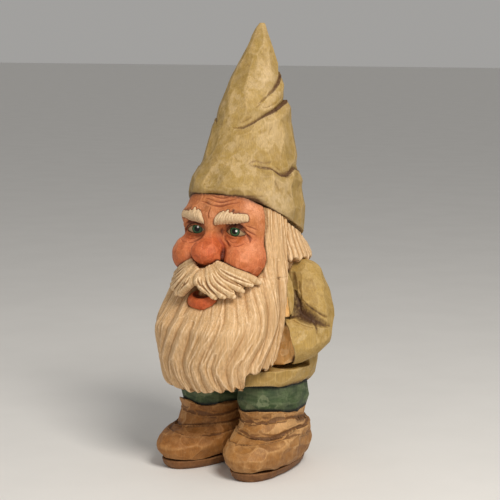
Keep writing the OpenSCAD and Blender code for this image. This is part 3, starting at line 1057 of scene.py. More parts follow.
SOLE = Rings(
    [
        (0, -4.4, 12.4, 31.0, 2.4, 0),
        (2, -4.4, 14.4, 33.0, 2.4, 0),
        (SOLE_TOP, -4.4, 15.6, 34.0, 2.4, 0),
    ],
    soften=0.8,
)


def sole_shape(block, side):
    """The sole under one boot."""
    view = local(block, side, LEG_X, TOE_OUT)
    field = SOLE.field(view)[0]
    return meet(field, block.z - SOLE_TOP, 0.8)


# ---------------------------------------------------------------- pieces

LUMP_SIZE = 14.0
DENT_SIZE = 5.0


def wobble(piece, coarse, fine, seed):
    """The slow unevenness of a shape worked by hand."""
    lumps = noise(piece.points, LUMP_SIZE, seed) * coarse
    dents = noise(piece.points, DENT_SIZE, seed + 50) * fine
    piece.push(lumps + dents)


def angles(points, axis_y):
    """The bearing of each point round an upright axis: 0 at the front, positive to its left."""
    return np.degrees(np.arctan2(points[:, 0], axis_y - points[:, 1]))


def build_hat(paints):
    """The hat, with three folds and pale patches of worn paint and painted highlight."""
    hat = carve("carved_hat", (-36, -30, 116), (36, 42, HAT_TOP + 2), 0.6, hat_shape)
    wobble(hat, 0.5, 0.15, 11)
    turn = angles(hat.points, HAT.at(hat.points[:, 2], 0))
    z = hat.points[:, 2]
    folds = (
        ([-180, -100, -55, 2, 21, 55, 91, 125, 180], [200, 199, 196, 192, 192.5, 199.5, 204.5, 207, 200],
         [0.3, 0.4, 0.4, 0.0, 0.7, 1, 1, 1, 0.3], 2.6, 1.2),
        ([-180, 40, 58, 90, 115, 180], [210, 205, 209.5, 215.5, 220, 226], [0, 0, 0.5, 1, 1, 0], 1.5, 0.9),
        ([-180, -110, -55, -10, 30, 41, 58, 73, 82, 100, 125, 180],
         [168, 168, 170, 172, 173, 172, 170.5, 166.5, 166.3, 169.3, 166.7, 168],
         [0.5, 0.5, 0.4, 0, 0, 0.6, 0.8, 1, 1, 1, 0.9, 0.5], 1.5, 1.5),
    )
    for bearing, height, strength, tuck, swell in folds:
        hat.crease(z - np.interp(turn, bearing, height), np.interp(turn, bearing, strength), tuck, swell)
    hat.facets(10.0, 0.7, (0.25, 0.06, 1), long=1.7, seed=21)
    # Painted shade on the hat where it comes close to the face under the brim.
    hat.beside(hat.near(face_shape) + np.clip(hat.points[:, 2] - 156, 0, None), 1.2)
    # Pale patches of worn paint and painted highlight on the lit side of the hat.
    hat.rub_and_highlight(
        [
            ((11.8, 6.7, 221), (7, 8, 12), 0.8),
            ((20.3, -0.5, 191), (12, 13, 13), 0.35),
            ((27.4, -7.9, 153), (11, 12, 13), 1.0),
        ]
    )
    hat.finish("hat", "hat_paint", paints["hat"])


def build_head(paints):
    """The head, with its wrinkles, lids, rosy cheeks and nose."""
    block = Block((-32, -44, 104), (32, 14, 162), 0.4)
    field = face_shape(block)
    field = meet(field, slab(block, low=107, high=161))
    field = meet(field, block.y - 4.8)
    for side in (1, -1):
        view = local(block, side)
        field = cut(field, np.maximum(LOCK_X - 0.2 - view.x, lock_front(block) - block.y), 0.4)
        field = cut(field, eyeball(block, side) - 0.05)
    head = Carving("carved_head", block, cut(field, hat_shape(block) - 0.1))
    wobble(head, 0.25, 0.1, 12)
    # Stain and painted shade in the valley between the nose and the cheeks.
    head.crevice(head.near(nose_shape), head.near(cheek_shape), 1.1, 1.0)
    cheeks = np.zeros(len(head.points))
    for side in (1, -1):
        middle = (side * CHEEK[0], CHEEK[1], CHEEK[2])
        gap = np.linalg.norm((head.points - middle) / (13.5, 13, 12), axis=1)
        cheeks = np.maximum(cheeks, np.clip(1.35 - gap, 0, 1) * 2)
    nose = np.linalg.norm((head.points - NOSE) / (9, 9, 8), axis=1)
    rosy = np.clip(np.maximum(cheeks, np.clip(1.5 - nose, 0, 1) * 2), 0, 1)
    head.facets(5.5, 0.42, (0.5, 0, 1), long=1.8, seed=22, where=0.3 + 0.7 * rosy)
    wrinkles = (
        ([(-9, 0, 152.2), (-2, 0, 151.4), (5, 0, 150.4), (10, 0, 151.6), (16, 0, 152.6)], 2.0, 0.7),
        ([(-6, 0, 153.9), (0, 0, 153.4), (5, 0, 152.4), (9, 0, 153.2), (14, 0, 154.4)], 1.9, 0.6),
        ([(-3, 0, 155.6), (5, 0, 154.6), (11, 0, 155.8)], 1.6, 0.4),
        ([(0.6, 0, 149.8), (-0.4, 0, 146.5), (0.4, 0, 143.2)], 2.2, 0.6),
    )
    for path, width, depth in wrinkles:
        head.score(path, width, depth, stained=0.5)
    for side in (1, -1):
        lines = (
            ([(6.6, 134.6), (8.6, 132.0), (12.0, 129.8), (14.6, 129.2)], 2.2, 0.9, 0.6),
            ([(9.6, 132.6), (13.4, 131.4), (17.4, 131.6)], 1.5, 0.4, 0.35),
            ([(15.4, 129.6), (18.6, 129.6), (21.4, 130.8)], 1.6, 0.5, 0.4),
            ([(18.8, 136.6), (21.6, 134.0), (23.4, 130.8)], 1.9, 0.8, 0.6),
            ([(19.4, 138.4), (22.2, 136.6), (24.6, 134.6)], 1.7, 0.6, 0.5),
            ([(20.6, 140.4), (23.2, 139.2), (25.2, 137.4)], 1.5, 0.4, 0.4),
            ([(7.4, 138.8), (10.4, 141.0), (14.5, 141.4), (21.4, 138.0)], 2.8, 1.0, 1.0),
            (
                [(6.8, 136.1), (9.6, 139.0), (13.4, 140.1), (17.6, 138.6), (20.8, 135.4), (23.4, 132.6)],
                2.4, 0.5, 1.0,
            ),
            ([(6.0, 138.6), (5.4, 136.2), (6.2, 134.0)], 2.2, 0.6, 0.6),
        )
        for path, width, depth, stained in lines:
            head.score([(side * x, 0, z) for x, z in path], width, depth, stained=stained)
    # Painted shade under the hat, beside the side locks and the brows, along the upper lids and under the
    # moustache.
    head.against(hat_shape, 1.3)
    for side in (1, -1):
        head.against(side_lock_shape, 1.1, side=side)
        head.against(brow_shape, 0.6, 0.8, side=side)
        under = 2 * np.clip(LIDS["level"] + 0.6 - head.points[:, 2], 0, 1)
        head.beside(head.near(eyeball, side=side) + under, 1.0)
    head.against(moustache_shape, 0.9)
    # Pale patches of worn paint and painted highlight on the cheeks and the forehead.
    head.rub_and_highlight(
        [((side * 22.5, -24, 125), (6, 9, 8), 1.5) for side in (1, -1)]
        + [((side * 22.5, -20, 149), (6, 9, 6), 0.9) for side in (1, -1)]
    )
    rosy = rosy * (1 - 0.7 * head.wash["worn_and_highlit"])
    # Painted shade: the hat's shadow over the upper forehead and the shade round the eye openings.
    brown = 0.12 * np.clip((head.points[:, 2] - 142) / 10, 0, 1)
    for side in (1, -1):
        opening = head.near(lambda spots: eye_opening(local(spots, side)))
        brown = np.maximum(brown, 1.5 * np.exp(-np.clip(opening, 0, None) / 2.6))
    head.wash.update({"rosy": rosy, "nose": np.clip(1.6 - nose, 0, 1), "brown": brown})
    head.finish("head", "skin_paint", paints["skin"])


def build_eyes(paints):
    """The two eyes, each with its iris and its dot of light."""
    looks = {"left": ((13.3, 136.7), (14.6, 137.0)), "right": ((-12.3, 136.3), (-11.6, 137.5))}
    for name, side in SIDES.items():
        low = np.array((side * EYE[0] - 9, -29, 129))
        block = Block(low, low + (18, 14, 15), 0.25)
        eye = Carving(name + "_carved_eye", block, eyeball(block, side))
        (iris_x, iris_z), (glint_x, glint_z) = looks[name]
        x, _, z = eye.points.T
        eye.wash = {
            "iris": np.hypot(0.88 * (x - iris_x), 1.08 * (z - iris_z)),
            "glint": np.hypot(x - glint_x, z - glint_z),
        }
        # Painted shade on the eye where the lids overhang it.
        eye.against(face_shape, 0.6, 0.9)
        eye.finish(name + "_eye", "eye_paint", paints["eye"])


def build_brows(paints):
    """The two eyebrows."""
    for name, side in SIDES.items():
        brow = carve(name + "_carved_brow", (1, -36, 138), (28, -16, 152), 0.25, brow_shape, side)
        wobble(brow, 0.1, 0.08, 13)
        for path, _ in brow_strands():
            line = [(side * (x + 0.8), y, z) for x, y, z in path[1:-1]]
            brow.score(line, 0.7, 0.25, stained=0.4)
        brow.finish(name + "_brow", "hair_paint", paints["brow"])


def build_moustache(paints):
    """The moustache, scored between its strands."""
    tuft = carve("carved_moustache", (-34, -49, 92), (34, -24, 122), 0.34, moustache_shape)
    wobble(tuft, 0.2, 0.12, 14)
    for side in (1, -1):
        paths = [path for path, _ in moustache_strands(side)]
        for path, neighbour in zip(paths, paths[1:]):
            gap = (path + neighbour) / 2 * (side, 1, 1)
            tuft.score(gap[2:], 2.0, 0.8, facing=(side * 0.3, -1, 0), stained=0.85)
    tuft.against(nose_shape, 0.6)
    tuft.against(lip_shape, 0.8)
    tuft.finish("moustache", "hair_paint", paints["moustache"])


def build_lip(paints):
    """The lower lip and the dark hollow of the mouth."""
    lip = carve("carved_lip", (-12, -46, 90), (12, -27, 106), 0.3, lip_shape)
    hollow = np.linalg.norm((lip.points - MOUTH) / MOUTH_RADII, axis=1)
    lip.facets(3.0, 0.12, (1, 0, 0), long=1.5, seed=23)
    # Dark paint and painted shade inside the mouth hollow, and painted shade under the moustache.
    deep = np.clip((1.12 - hollow) * 6, 0, 1) * np.clip((lip.points[:, 1] + 43.6) / 2.2, 0, 1)
    lip.stain_and_shade = np.maximum(lip.stain_and_shade, deep)
    lip.against(moustache_shape, 1.0)
    lip.wash = {"rosy": np.ones(len(lip.points)), "nose": np.ones(len(lip.points))}
    lip.finish("lower_lip", "skin_paint", paints["skin"])


def build_hair(paints):
    """The beard and the side locks, combed with the same strokes, and the back hair, combed with strokes
    of its own.
    """
    combs = beard_combs()
    beard = carve("carved_beard", (-40, -56, 39), (40, 2, 113), 0.46, beard_shape)
    wobble(beard, 0.7, 0.2, 15)
    beard.comb(combs, around(beard.points[:, 0], beard.points[:, 1]))
    beard.against(moustache_shape, 1.2)
    beard.against(lip_shape, 1.2)
    beard.finish("beard", "hair_paint", paints["hair"])

    for name, side in SIDES.items():
        block = half_block(side, (21, -25, 109), (37, 5, 163), 0.36)
        field = np.maximum(side_lock_shape(block, side), below_hat(block))
        lock = Carving(name + "_carved_lock", block, field)
        wobble(lock, 0.7, 0.2, 15)
        lock.comb(combs, around(lock.points[:, 0], lock.points[:, 1]))
        lock.against(hat_shape, 1.0)
        lock.against(face_shape, 0.6, 0.6)
        lock.finish(name + "_side_lock", "hair_paint", paints["hair"])

    block = Block((-38, -8, 109), (38, 41, 152), 0.5)
    field = np.maximum(back_hair_shape(block), below_hat(block))
    back = Carving("carved_back_hair", block, field)
    wobble(back, 0.6, 0.2, 17)
    strokes = Comb((-110, 110), (105, 165), seed=6)
    for top in (128, 146):
        strokes.row((-100, 100), 4.2, top, 34, 2.0, 1.1)
    for top in (122, 134, 146):
        strokes.row((-100, 100), 2.0, top, 18, 0.8, 0.45, 1.2)
    bearing = np.arctan2(back.points[:, 0], back.points[:, 1] - BACK_AXIS_Y)
    back.comb([strokes], HAIR_RADIUS * bearing)
    back.against(hat_shape, 1.2)
    back.against(coat_shape, 1.0)
    back.finish("back_hair", "hair_paint", paints["hair"])


def build_coat(paints):
    """The coat and the brown front that shows behind the beard."""
    coat = carve("carved_coat", (-44, -35, 44), (44, 42, 116), 0.6, coat_shape)
    wobble(coat, 0.6, 0.2, 18)
    coat.facets(10.0, 0.7, (0.3, 0.2, 1), long=1.6, seed=24)
    coat.against(beard_shape, 1.4)
    for side in (1, -1):
        coat.against(arm_shape, 0.8, 0.6, side=side)
    coat.against(back_hair_shape, 1.2)
    coat.against(trousers_shape, 1.2, 0.7)
    coat.finish("coat", "coat_paint", paints["coat"])

    front = carve("carved_front", (-38, -10.5, 58), (38, -3, 113), 0.5, front_shape)
    front.facets(5.0, 0.3, (0, 0, 1), long=1.6, seed=25)
    for side in (1, -1):
        front.against(arm_shape, 1.2, side=side)
    front.finish("waistcoat", "brown_paint", paints["brown"])


def build_arms(paints):
    """The creased sleeves and the mittens."""
    for name, side in SIDES.items():
        arm = carve(name + "_carved_arm", (24, -18, 58), (56, 28, 120), 0.5, arm_shape, side)
        wobble(arm, 0.5, 0.2, 19)
        creases = (
            (
                [
                    (34, 0, 103), (37, -1, 97.5), (39.5, -3, 92.5),
                    (44.8, -3, 90), (50, -0.6, 87.6), (55, 7, 83.6),
                ],
                10.0, 3.8, 1.0, 0.5,
            ),
            ([(40.6, -0.8, 98), (44, -0.6, 95.4), (48.6, 0.6, 92.4), (54.0, 8, 88)], 3.4, 1.0, 0.8, 1.0),
            ([(33.0, -6.0, 87.8), (37, -5.2, 89.2), (42, -3.6, 90)], 3.6, 1.2, 0.9, 0.8),
            ([(47.6, -1.3, 88.0), (50.6, -1.8, 84.0), (51.6, -1.4, 79.0)], 3.0, 0.9, 0.7, 1.0),
            (
                [(29.6, 6.3, 114), (32.8, 1.8, 109.5), (34.4, 0.9, 104.1), (37, -0.8, 98)],
                3.4, 1.0, 0.5, 1.0,
            ),
            ([(36.7, 1.6, 108), (38.2, 0.6, 102.7), (40.0, -0.8, 98)], 2.8, 0.8, 0.5, 1.0),
        )
        # The creases carry stain and painted shade; the wide first one spreads painted shade over the
        # armpit fold.
        for path, width, depth, stained, spread in creases:
            path = [(side * x, y, z) for x, y, z in path]
            arm.score(path, width, depth, (side * 0.574, -0.819, 0.1), stained, spread)
        arm.facets(10.0, 0.8, (0, 0.3, 1), long=1.6, seed=26 + side)
        arm.against(coat_shape, 0.8, 0.6)
        arm.against(mitten_shape, 0.9, side=side)
        arm.finish(name + "_arm", "coat_paint", paints["coat"])

        mitten = carve(name + "_carved_mitten", (25, -11, 59), (43, 5, 89), 0.4, mitten_shape, side)
        wobble(mitten, 0.3, 0.2, 20)
        mitten.facets(4.5, 0.4, (0, 0, 1), long=1.6, seed=28)
        mitten.against(arm_shape, 1.0, side=side)
        mitten.finish(name + "_mitten", "brown_paint", paints["brown"])


def build_legs(paints):
    """The trousers, the folded boots and their soles."""
    trousers = carve("carved_trousers", (-41, -26, 30), (41, 26, 54), 0.5, trousers_shape)
    wobble(trousers, 0.6, 0.3, 31)
    trousers.facets(8.0, 0.7, (1, 1, 0.1), long=2.4, seed=32)
    trousers.against(coat_shape, 1.5)
    for side in (1, -1):
        trousers.against(boot_shape, 1.2, side=side)
    trousers.finish("trousers", "trouser_paint", paints["trouser"])

    for name, side in SIDES.items():
        boot = carve(name + "_carved_boot", (-2, -44, 4.5), (42, 38, 40.5), 0.5, boot_shape, side)
        wobble(boot, 0.6, 0.25, 33 + side)
        x, y, z = boot.points.T
        turn = np.degrees(np.arctan2(side * x - LEG_X, -y))
        folds = (
            (30.2 + 1.3 * np.sin(np.radians(2 * turn - 30)), 1.4, 1.7),
            (25.0 - 1.5 * np.cos(np.radians(turn - 10)) - 0.8 * np.sin(np.radians(3 * turn)), 1.7, 2.0),
            (20.0 - 1.4 * np.cos(np.radians(2 * turn + 40)), 0.9, 1.2),
        )
        for height, tuck, swell in folds:
            strength = np.clip(0.75 + 0.35 * noise(boot.points, 16, 34), 0.2, 1)
            boot.crease((z - height) * 1.1, strength, tuck, swell, stained=0.3)
        boot.facets(11.0, 0.8, (1, 0.4, 0.2), long=1.4, seed=35 + side)
        boot.against(sole_shape, 0.6, 0.6, side=side)
        boot.against(trousers_shape, 0.7, 0.6)
        # Painted shade, slight on the left boot and deep on the right boot, which stands in the shadow of
        # the left leg.
        painted_shade = 0.2 if side > 0 else 0.9
        boot.wash = {"brown": np.full(len(boot.points), painted_shade)}
        boot.finish(name + "_boot", "boot_paint", paints["boot"])

        sole = carve(name + "_carved_sole", (-2, -44, -0.5), (42, 38, 7.5), 0.45, sole_shape, side)
        sole.facets(8.0, 0.3, (1, 1, 0), long=1.6, seed=38)
        sole.points[:, 2] = np.maximum(sole.points[:, 2], 0)
        sole.against(boot_shape, 0.6, 0.7, side=side)
        sole.finish(name + "_sole", "sole_paint", paints["sole"])


# ---------------------------------------------------------------- paint

ROUGHNESS = 0.62
PAINTED_SHADE_TINT = (0.80, 0.68, 0.56)
CHEEK_RED = (1.09, 0.73, 0.63)
NOSE_RED = (1.0, 0.76, 0.64)
SPONGED = (0.62, 0.45, 0.36)

class Recipe:
    """A node material put together step by step."""

    def __init__(self, name):
        self.material = bpy.data.materials.new(name)
        self.material.use_nodes = True
        self.tree = self.material.node_tree
        self.shader = self.tree.nodes["Principled BSDF"]
        self.place = self.tree.nodes.new("ShaderNodeTexCoord").outputs["Object"]

    def feed(self, socket, value):
        """A socket takes either a number, a colour or the output of another node."""
        if isinstance(value, bpy.types.NodeSocket):
            self.tree.links.new(value, socket)
        elif isinstance(value, tuple) and len(value) == 3 and socket.type == "RGBA":
            socket.default_value = (*value, 1)
        else:
            socket.default_value = value

    def noise(self, millimetres, detail=3.0, stretch=(1, 1, 1), rough=0.55):
        """Noise from 0 to 1 whose features are about that size, longer along a stretched axis."""
        mapping = self.tree.nodes.new("ShaderNodeMapping")
        self.feed(mapping.inputs["Vector"], self.place)
        mapping.inputs["Scale"].default_value = [1 / s for s in stretch]
        texture = self.tree.nodes.new("ShaderNodeTexNoise")
        self.feed(texture.inputs["Vector"], mapping.outputs["Vector"])
        texture.inputs["Scale"].default_value = 1000 / millimetres
        texture.inputs["Detail"].default_value = detail
        texture.inputs["Roughness"].default_value = rough
        return texture.outputs["Fac"]

    def attribute(self, name):
        """A value that the mesh carries at its points."""
        node = self.tree.nodes.new("ShaderNodeAttribute")
        node.attribute_name = name
        return node.outputs["Fac"]

    def ramp(self, value, start, end, low=0.0, high=1.0):
        """Carries start..end to low..high, smoothly and without going past either end."""
        node = self.tree.nodes.new("ShaderNodeMapRange")
        node.interpolation_type = "SMOOTHSTEP"
        for name, number in (("From Min", start), ("From Max", end), ("To Min", low), ("To Max", high)):
            node.inputs[name].default_value = number
        self.feed(node.inputs["Value"], value)
        return node.outputs["Result"]

    def maths(self, operation, a, b):
        """A sum, a product or the like of two values."""
        node = self.tree.nodes.new("ShaderNodeMath")
        node.operation = operation
        self.feed(node.inputs[0], a)
        self.feed(node.inputs[1], b)
        return node.outputs["Value"]

    def times(self, a, b):
        """The product of two values."""
        return self.maths("MULTIPLY", a, b)

    def plus(self, a, b):
        """The sum of two values."""
        return self.maths("ADD", a, b)

    def mix(self, factor, a, b, how="MIX"):
        """Colour b laid over colour a."""
        node = self.tree.nodes.new("ShaderNodeMixRGB")
        node.blend_type = how
        self.feed(node.inputs["Fac"], factor)
        self.feed(node.inputs["Color1"], a)
        self.feed(node.inputs["Color2"], b)
        return node.outputs["Color"]

    def bump(self, height, strength, millimetres):
        """Fine relief that the mesh is too coarse to carry."""
        node = self.tree.nodes.new("ShaderNodeBump")
        node.inputs["Strength"].default_value = strength
        node.inputs["Distance"].default_value = millimetres * MM
        self.feed(node.inputs["Height"], height)
        self.feed(self.shader.inputs["Normal"], node.outputs["Normal"])

    def finish(self, colour, roughness, specular=0.3):
        """The material with its colour and its gloss."""
        self.feed(self.shader.inputs["Base Color"], colour)
        self.feed(self.shader.inputs["Roughness"], roughness)
        self.shader.inputs["Specular IOR Level"].default_value = specular
        return self.material


def worn(recipe, colour, pale, dark, stain_and_shade, edge, hollow, facet):
    """Thin paint over carved wood: rubbed pale on the high cuts, brown wash left in the low ones, painted
    shade in the broad hollows and the marked shaded areas, pale patches of wear and painted highlight, and
    stain with painted shade where parts meet.
    """
    high = recipe.ramp(recipe.attribute("hollow"), -0.05, -0.7)
    low = recipe.ramp(recipe.attribute("hollow"), 0.05, 0.8)
    broad = recipe.ramp(recipe.attribute("shade"), 0.0, 0.9)
    patch = recipe.noise(2.2, 3.0)
    tint = recipe.plus(recipe.attribute("tint"), recipe.ramp(recipe.noise(4.0, 5.0), 0.2, 0.8, -0.5, 0.5))
    worn_and_highlit = recipe.times(high, recipe.ramp(patch, 0.3, 0.7, 0.35, 1.0))
    colour = recipe.mix(recipe.ramp(tint, 0.55, 0.8, 0, facet), colour, pale)
    colour = recipe.mix(recipe.ramp(tint, -0.5, -0.9, 0, facet * 0.5), colour, dark)
    # Painted shade in the broad hollows.
    colour = recipe.mix(recipe.times(broad, 0.45 * hollow), colour, dark)
    colour = recipe.mix(recipe.times(worn_and_highlit, edge), colour, pale)
    # Pale patches of worn paint and painted highlight.
    patchy_wear_and_highlight = recipe.ramp(recipe.noise(3.2, 4.0), 0.35, 0.6, 0.25, 0.85)
    colour = recipe.mix(recipe.times(recipe.attribute("worn_and_highlit"), patchy_wear_and_highlight), colour, pale)
    # Painted shade, multiplied in where the mesh marks it.
    colour = recipe.mix(recipe.attribute("brown"), colour, PAINTED_SHADE_TINT, "MULTIPLY")
    colour = recipe.mix(recipe.times(low, hollow), colour, dark)
    # Stain in the cuts and painted shade where parts meet, both laid on in the darkest colour.
    ragged = recipe.times(recipe.attribute("stain_and_shade"), recipe.ramp(recipe.noise(1.4), 0.2, 0.8, 0.7, 1.2))
    return recipe.mix(recipe.ramp(ragged, 0.12, 0.9), colour, stain_and_shade)


def painted(
    name,
    paint,
    second,
    pale,
    dark,
    stain_and_shade,
    grain=0.3,
    edge=0.3,
    hollow=0.7,
    facet=0.3,
    flow=1,
):
    """Thin water-based paint on carved limewood; flow draws its clouds out along the strands."""
    recipe = Recipe(name)
    blotch = recipe.ramp(recipe.noise(13, 4.0), 0.35, 0.68)
    cloud = recipe.ramp(recipe.noise(4.5 / flow**0.5, 4.0, stretch=(1, 1, flow)), 0.35, 0.7)
    mottle = recipe.ramp(recipe.noise(2.4 / flow**0.5, 5.0, stretch=(1, 1, flow), rough=0.75), 0.5, 0.68)
    mottle = recipe.times(mottle, recipe.ramp(recipe.noise(16, 2.0), 0.35, 0.65, 0.3, 1.0))
    fibre = recipe.noise(0.55, 3.0, stretch=(1, 1, 14))
    speck = recipe.ramp(recipe.noise(0.8, 2.0), 0.66, 0.74)
    colour = recipe.mix(blotch, paint, second)
    colour = recipe.mix(recipe.times(cloud, 0.3), colour, pale)
    colour = recipe.mix(recipe.times(mottle, 0.45), colour, dark)
    colour = worn(recipe, colour, pale, dark, stain_and_shade, edge, hollow, facet)
    streak = recipe.ramp(fibre, 0.3, 0.72, 1 - 0.5 * grain, 1 + 0.3 * grain)
    shades = recipe.tree.nodes.new("ShaderNodeCombineColor")
    for channel in ("Red", "Green", "Blue"):
        recipe.feed(shades.inputs[channel], streak)
    colour = recipe.mix(1.0, colour, shades.outputs["Color"], "MULTIPLY")
    colour = recipe.mix(recipe.times(speck, 0.35), colour, dark)
    height = recipe.plus(fibre, recipe.times(recipe.noise(1.1, 3.0), 0.8))
    recipe.bump(height, 0.35, 0.12)
    gloss = recipe.ramp(recipe.noise(3.0, 3.0), 0.3, 0.7, ROUGHNESS - 0.07, ROUGHNESS + 0.1)
    return recipe, colour, gloss


def plain_paint(name, **colours):
    """A paint that needs nothing beyond the shared steps."""
    recipe, colour, gloss = painted(name, **colours)
    return recipe.finish(colour, gloss)


def skin_paint():
    """Flesh paint, redder on the cheeks, the nose and the lip."""
    recipe, colour, gloss = painted(
        "skin paint",
        paint=(0.55, 0.20, 0.065),
        second=(0.46, 0.145, 0.043),
        pale=(0.84, 0.38, 0.20),
        dark=(0.28, 0.062, 0.020),
        stain_and_shade=(0.060, 0.018, 0.010),
        grain=0.25,
        facet=0.35,
    )
    rosy = recipe.times(recipe.attribute("rosy"), recipe.ramp(recipe.noise(5.0), 0.25, 0.75, 0.6, 1.0))
    colour = recipe.mix(rosy, colour, CHEEK_RED, "MULTIPLY")
    colour = recipe.mix(recipe.times(recipe.attribute("nose"), 0.8), colour, NOSE_RED, "MULTIPLY")
    sponge = recipe.ramp(recipe.noise(0.9, 3.0), 0.35, 0.65)
    colour = recipe.mix(recipe.times(sponge, 0.3), colour, SPONGED, "MULTIPLY")
    return recipe.finish(colour, gloss, 0.35)


def eye_paint():
    """Cream white, a dark green iris with a paler ring, a black pupil and a dot of light."""
    recipe = Recipe("eye paint")
    iris = recipe.attribute("iris")
    glint = recipe.attribute("glint")
    fleck = recipe.noise(0.7, 3.0)
    white = recipe.mix(recipe.ramp(recipe.noise(2.5), 0.3, 0.7), (0.50, 0.38, 0.21), (0.38, 0.26, 0.13))
    # Painted shade on the white under the lids.
    white = recipe.mix(recipe.attribute("stain_and_shade"), white, (0.16, 0.05, 0.025))
    ring = recipe.mix(recipe.ramp(fleck, 0.35, 0.65), (0.022, 0.085, 0.034), (0.055, 0.15, 0.058))
    edge = recipe.plus(iris, recipe.ramp(fleck, 0.2, 0.8, -0.15, 0.15))
    colour = recipe.mix(recipe.ramp(edge, 3.15, 2.85), white, (0.015, 0.030, 0.016))
    colour = recipe.mix(recipe.ramp(edge, 2.65, 2.35), colour, ring)
    colour = recipe.mix(recipe.ramp(edge, 1.75, 1.45), colour, (0.006, 0.007, 0.006))
    colour = recipe.mix(recipe.ramp(glint, 0.75, 0.5), colour, (0.9, 0.9, 0.88))
    recipe.bump(fleck, 0.1, 0.05)
    return recipe.finish(colour, recipe.ramp(recipe.noise(2.0), 0.3, 0.7, 0.25, 0.36), 0.25)


def dowel_wood():
    """Bare birch with fine straight grain."""
    recipe = Recipe("dowel wood")
    grain = recipe.noise(0.5, 4.0, stretch=(1, 1, 25))
    bands = recipe.ramp(recipe.noise(2.5, 3.0, stretch=(1, 1, 12)), 0.35, 0.65)
    colour = recipe.mix(bands, (0.62, 0.43, 0.24), (0.50, 0.32, 0.16))
    colour = recipe.mix(recipe.ramp(grain, 0.5, 0.75, 0, 0.5), colour, (0.33, 0.19, 0.09))
    recipe.bump(grain, 0.3, 0.08)
    return recipe.finish(colour, recipe.ramp(grain, 0.3, 0.7, 0.5, 0.66))


HAIR_WEAR = dict(
    dark=(0.36, 0.18, 0.06),
    stain_and_shade=(0.24, 0.105, 0.034),
    grain=0.35,
    facet=0.15,
    hollow=0.55,
    edge=0.75,
    flow=9,
)
PAINTS = {
    "hat": dict(
        paint=(0.40, 0.260, 0.074),
        second=(0.34, 0.222, 0.062),
        pale=(0.62, 0.455, 0.25),
        dark=(0.20, 0.112, 0.032),
        stain_and_shade=(0.10, 0.045, 0.017),
        facet=0.36,
    ),
    "hair": dict(
        paint=(0.545, 0.33, 0.148),
        second=(0.605, 0.38, 0.182),
        pale=(0.88, 0.64, 0.40),
        **HAIR_WEAR,
    ),
    "brow": dict(
        paint=(0.60, 0.41, 0.225),
        second=(0.66, 0.46, 0.27),
        pale=(0.86, 0.65, 0.42),
        **HAIR_WEAR,
    ),
    "moustache": dict(
        paint=(0.56, 0.355, 0.165),
        second=(0.50, 0.31, 0.14),
        pale=(0.95, 0.72, 0.46),
        **HAIR_WEAR,
    ),
    "coat": dict(
        paint=(0.435, 0.278, 0.076),
        second=(0.37, 0.232, 0.060),
        pale=(0.58, 0.42, 0.20),
        dark=(0.22, 0.12, 0.032),
        stain_and_shade=(0.075, 0.034, 0.014),
        facet=0.5,
    ),
    "brown": dict(
        paint=(0.80, 0.44, 0.14),
        second=(0.66, 0.34, 0.10),
        pale=(0.90, 0.62, 0.32),
        dark=(0.26, 0.12, 0.036),
        stain_and_shade=(0.10, 0.045, 0.018),
        facet=0.6,
    ),
    "trouser": dict(
        paint=(0.056, 0.092, 0.032),
        second=(0.024, 0.044, 0.018),
        pale=(0.24, 0.27, 0.15),
        dark=(0.014, 0.020, 0.010),
        stain_and_shade=(0.008, 0.009, 0.007),
        facet=0.45,
        edge=0.2,
        flow=0.3,
    ),
    "boot": dict(
        paint=(0.40, 0.185, 0.048),
        second=(0.28, 0.120, 0.030),
        pale=(0.66, 0.40, 0.18),
        dark=(0.12, 0.048, 0.017),
        stain_and_shade=(0.040, 0.018, 0.009),
        facet=0.6,
        edge=0.45,
    ),
    "sole": dict(
        paint=(0.20, 0.082, 0.026),
        second=(0.15, 0.060, 0.019),
        pale=(0.36, 0.18, 0.070),
        dark=(0.09, 0.038, 0.014),
        stain_and_shade=(0.035, 0.016, 0.009),
        facet=0.5,
    ),
}


def make_paints():
    """Every paint by its short name."""
    paints = {name: plain_paint(name + " paint", **looks) for name, looks in PAINTS.items()}
    paints["skin"] = skin_paint()
    paints["eye"] = eye_paint()
    return paints


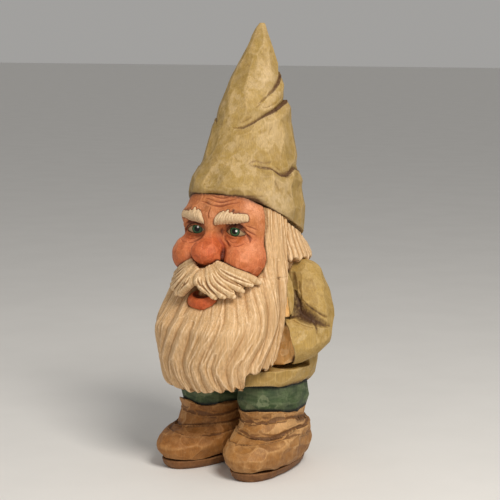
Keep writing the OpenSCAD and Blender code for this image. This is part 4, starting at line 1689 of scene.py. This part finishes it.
# ---------------------------------------------------------------- studio


def build_floor():
    """A plain pale floor that runs far past the figure."""
    half = 12.0
    mesh = bpy.data.meshes.new("floor")
    corners = [(-half, -half, 0), (half, -half, 0), (half, half, 0), (-half, half, 0)]
    mesh.from_pydata(corners, [], [(0, 1, 2, 3)])
    recipe = Recipe("floor card")
    tone = recipe.mix(recipe.ramp(recipe.noise(60), 0.3, 0.7), (0.80, 0.79, 0.77), (0.78, 0.77, 0.75))
    mesh.materials.append(recipe.finish(tone, 0.9, 0.1))
    floor = bpy.data.objects.new("floor", mesh)
    bpy.context.scene.collection.objects.link(floor)


def add_light(name, azimuth, elevation, distance, size, watts, colour):
    """A square soft box that looks at the figure's middle."""
    data = bpy.data.lights.new(name, "AREA")
    data.size = size
    data.energy = watts
    data.color = colour
    light = bpy.data.objects.new(name, data)
    away = outward(azimuth, elevation)
    light.location = away * distance + Vector((0, 0, HAT_TOP * MM / 2))
    light.rotation_mode = "QUATERNION"
    light.rotation_quaternion = (-away).to_track_quat("-Z", "Y")
    bpy.context.scene.collection.objects.link(light)


def add_daylight(strength):
    """Even pale light from all round."""
    world = bpy.data.worlds.new("studio")
    world.use_nodes = True
    background = world.node_tree.nodes["Background"]
    background.inputs["Color"].default_value = (1.0, 0.98, 0.95, 1)
    background.inputs["Strength"].default_value = strength
    bpy.context.scene.world = world


paints = make_paints()
build_hat(paints)
build_head(paints)
build_eyes(paints)
build_brows(paints)
build_moustache(paints)
build_lip(paints)
build_hair(paints)
build_coat(paints)
build_arms(paints)
build_legs(paints)

birch = dowel_wood()
for node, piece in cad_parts.items():
    if node.endswith("dowel"):
        piece.data.materials.clear()
        piece.data.materials.append(birch)

build_floor()
add_light("key", azimuth=60, elevation=42, distance=1.1, size=0.4, watts=10.2, colour=(1.0, 0.95, 0.88))
add_light("fill", azimuth=10, elevation=15, distance=1.4, size=0.9, watts=2.4, colour=(1.0, 0.96, 0.92))
add_daylight(0.36)
add_camera()
bpy.context.scene.view_settings.view_transform = "Standard"
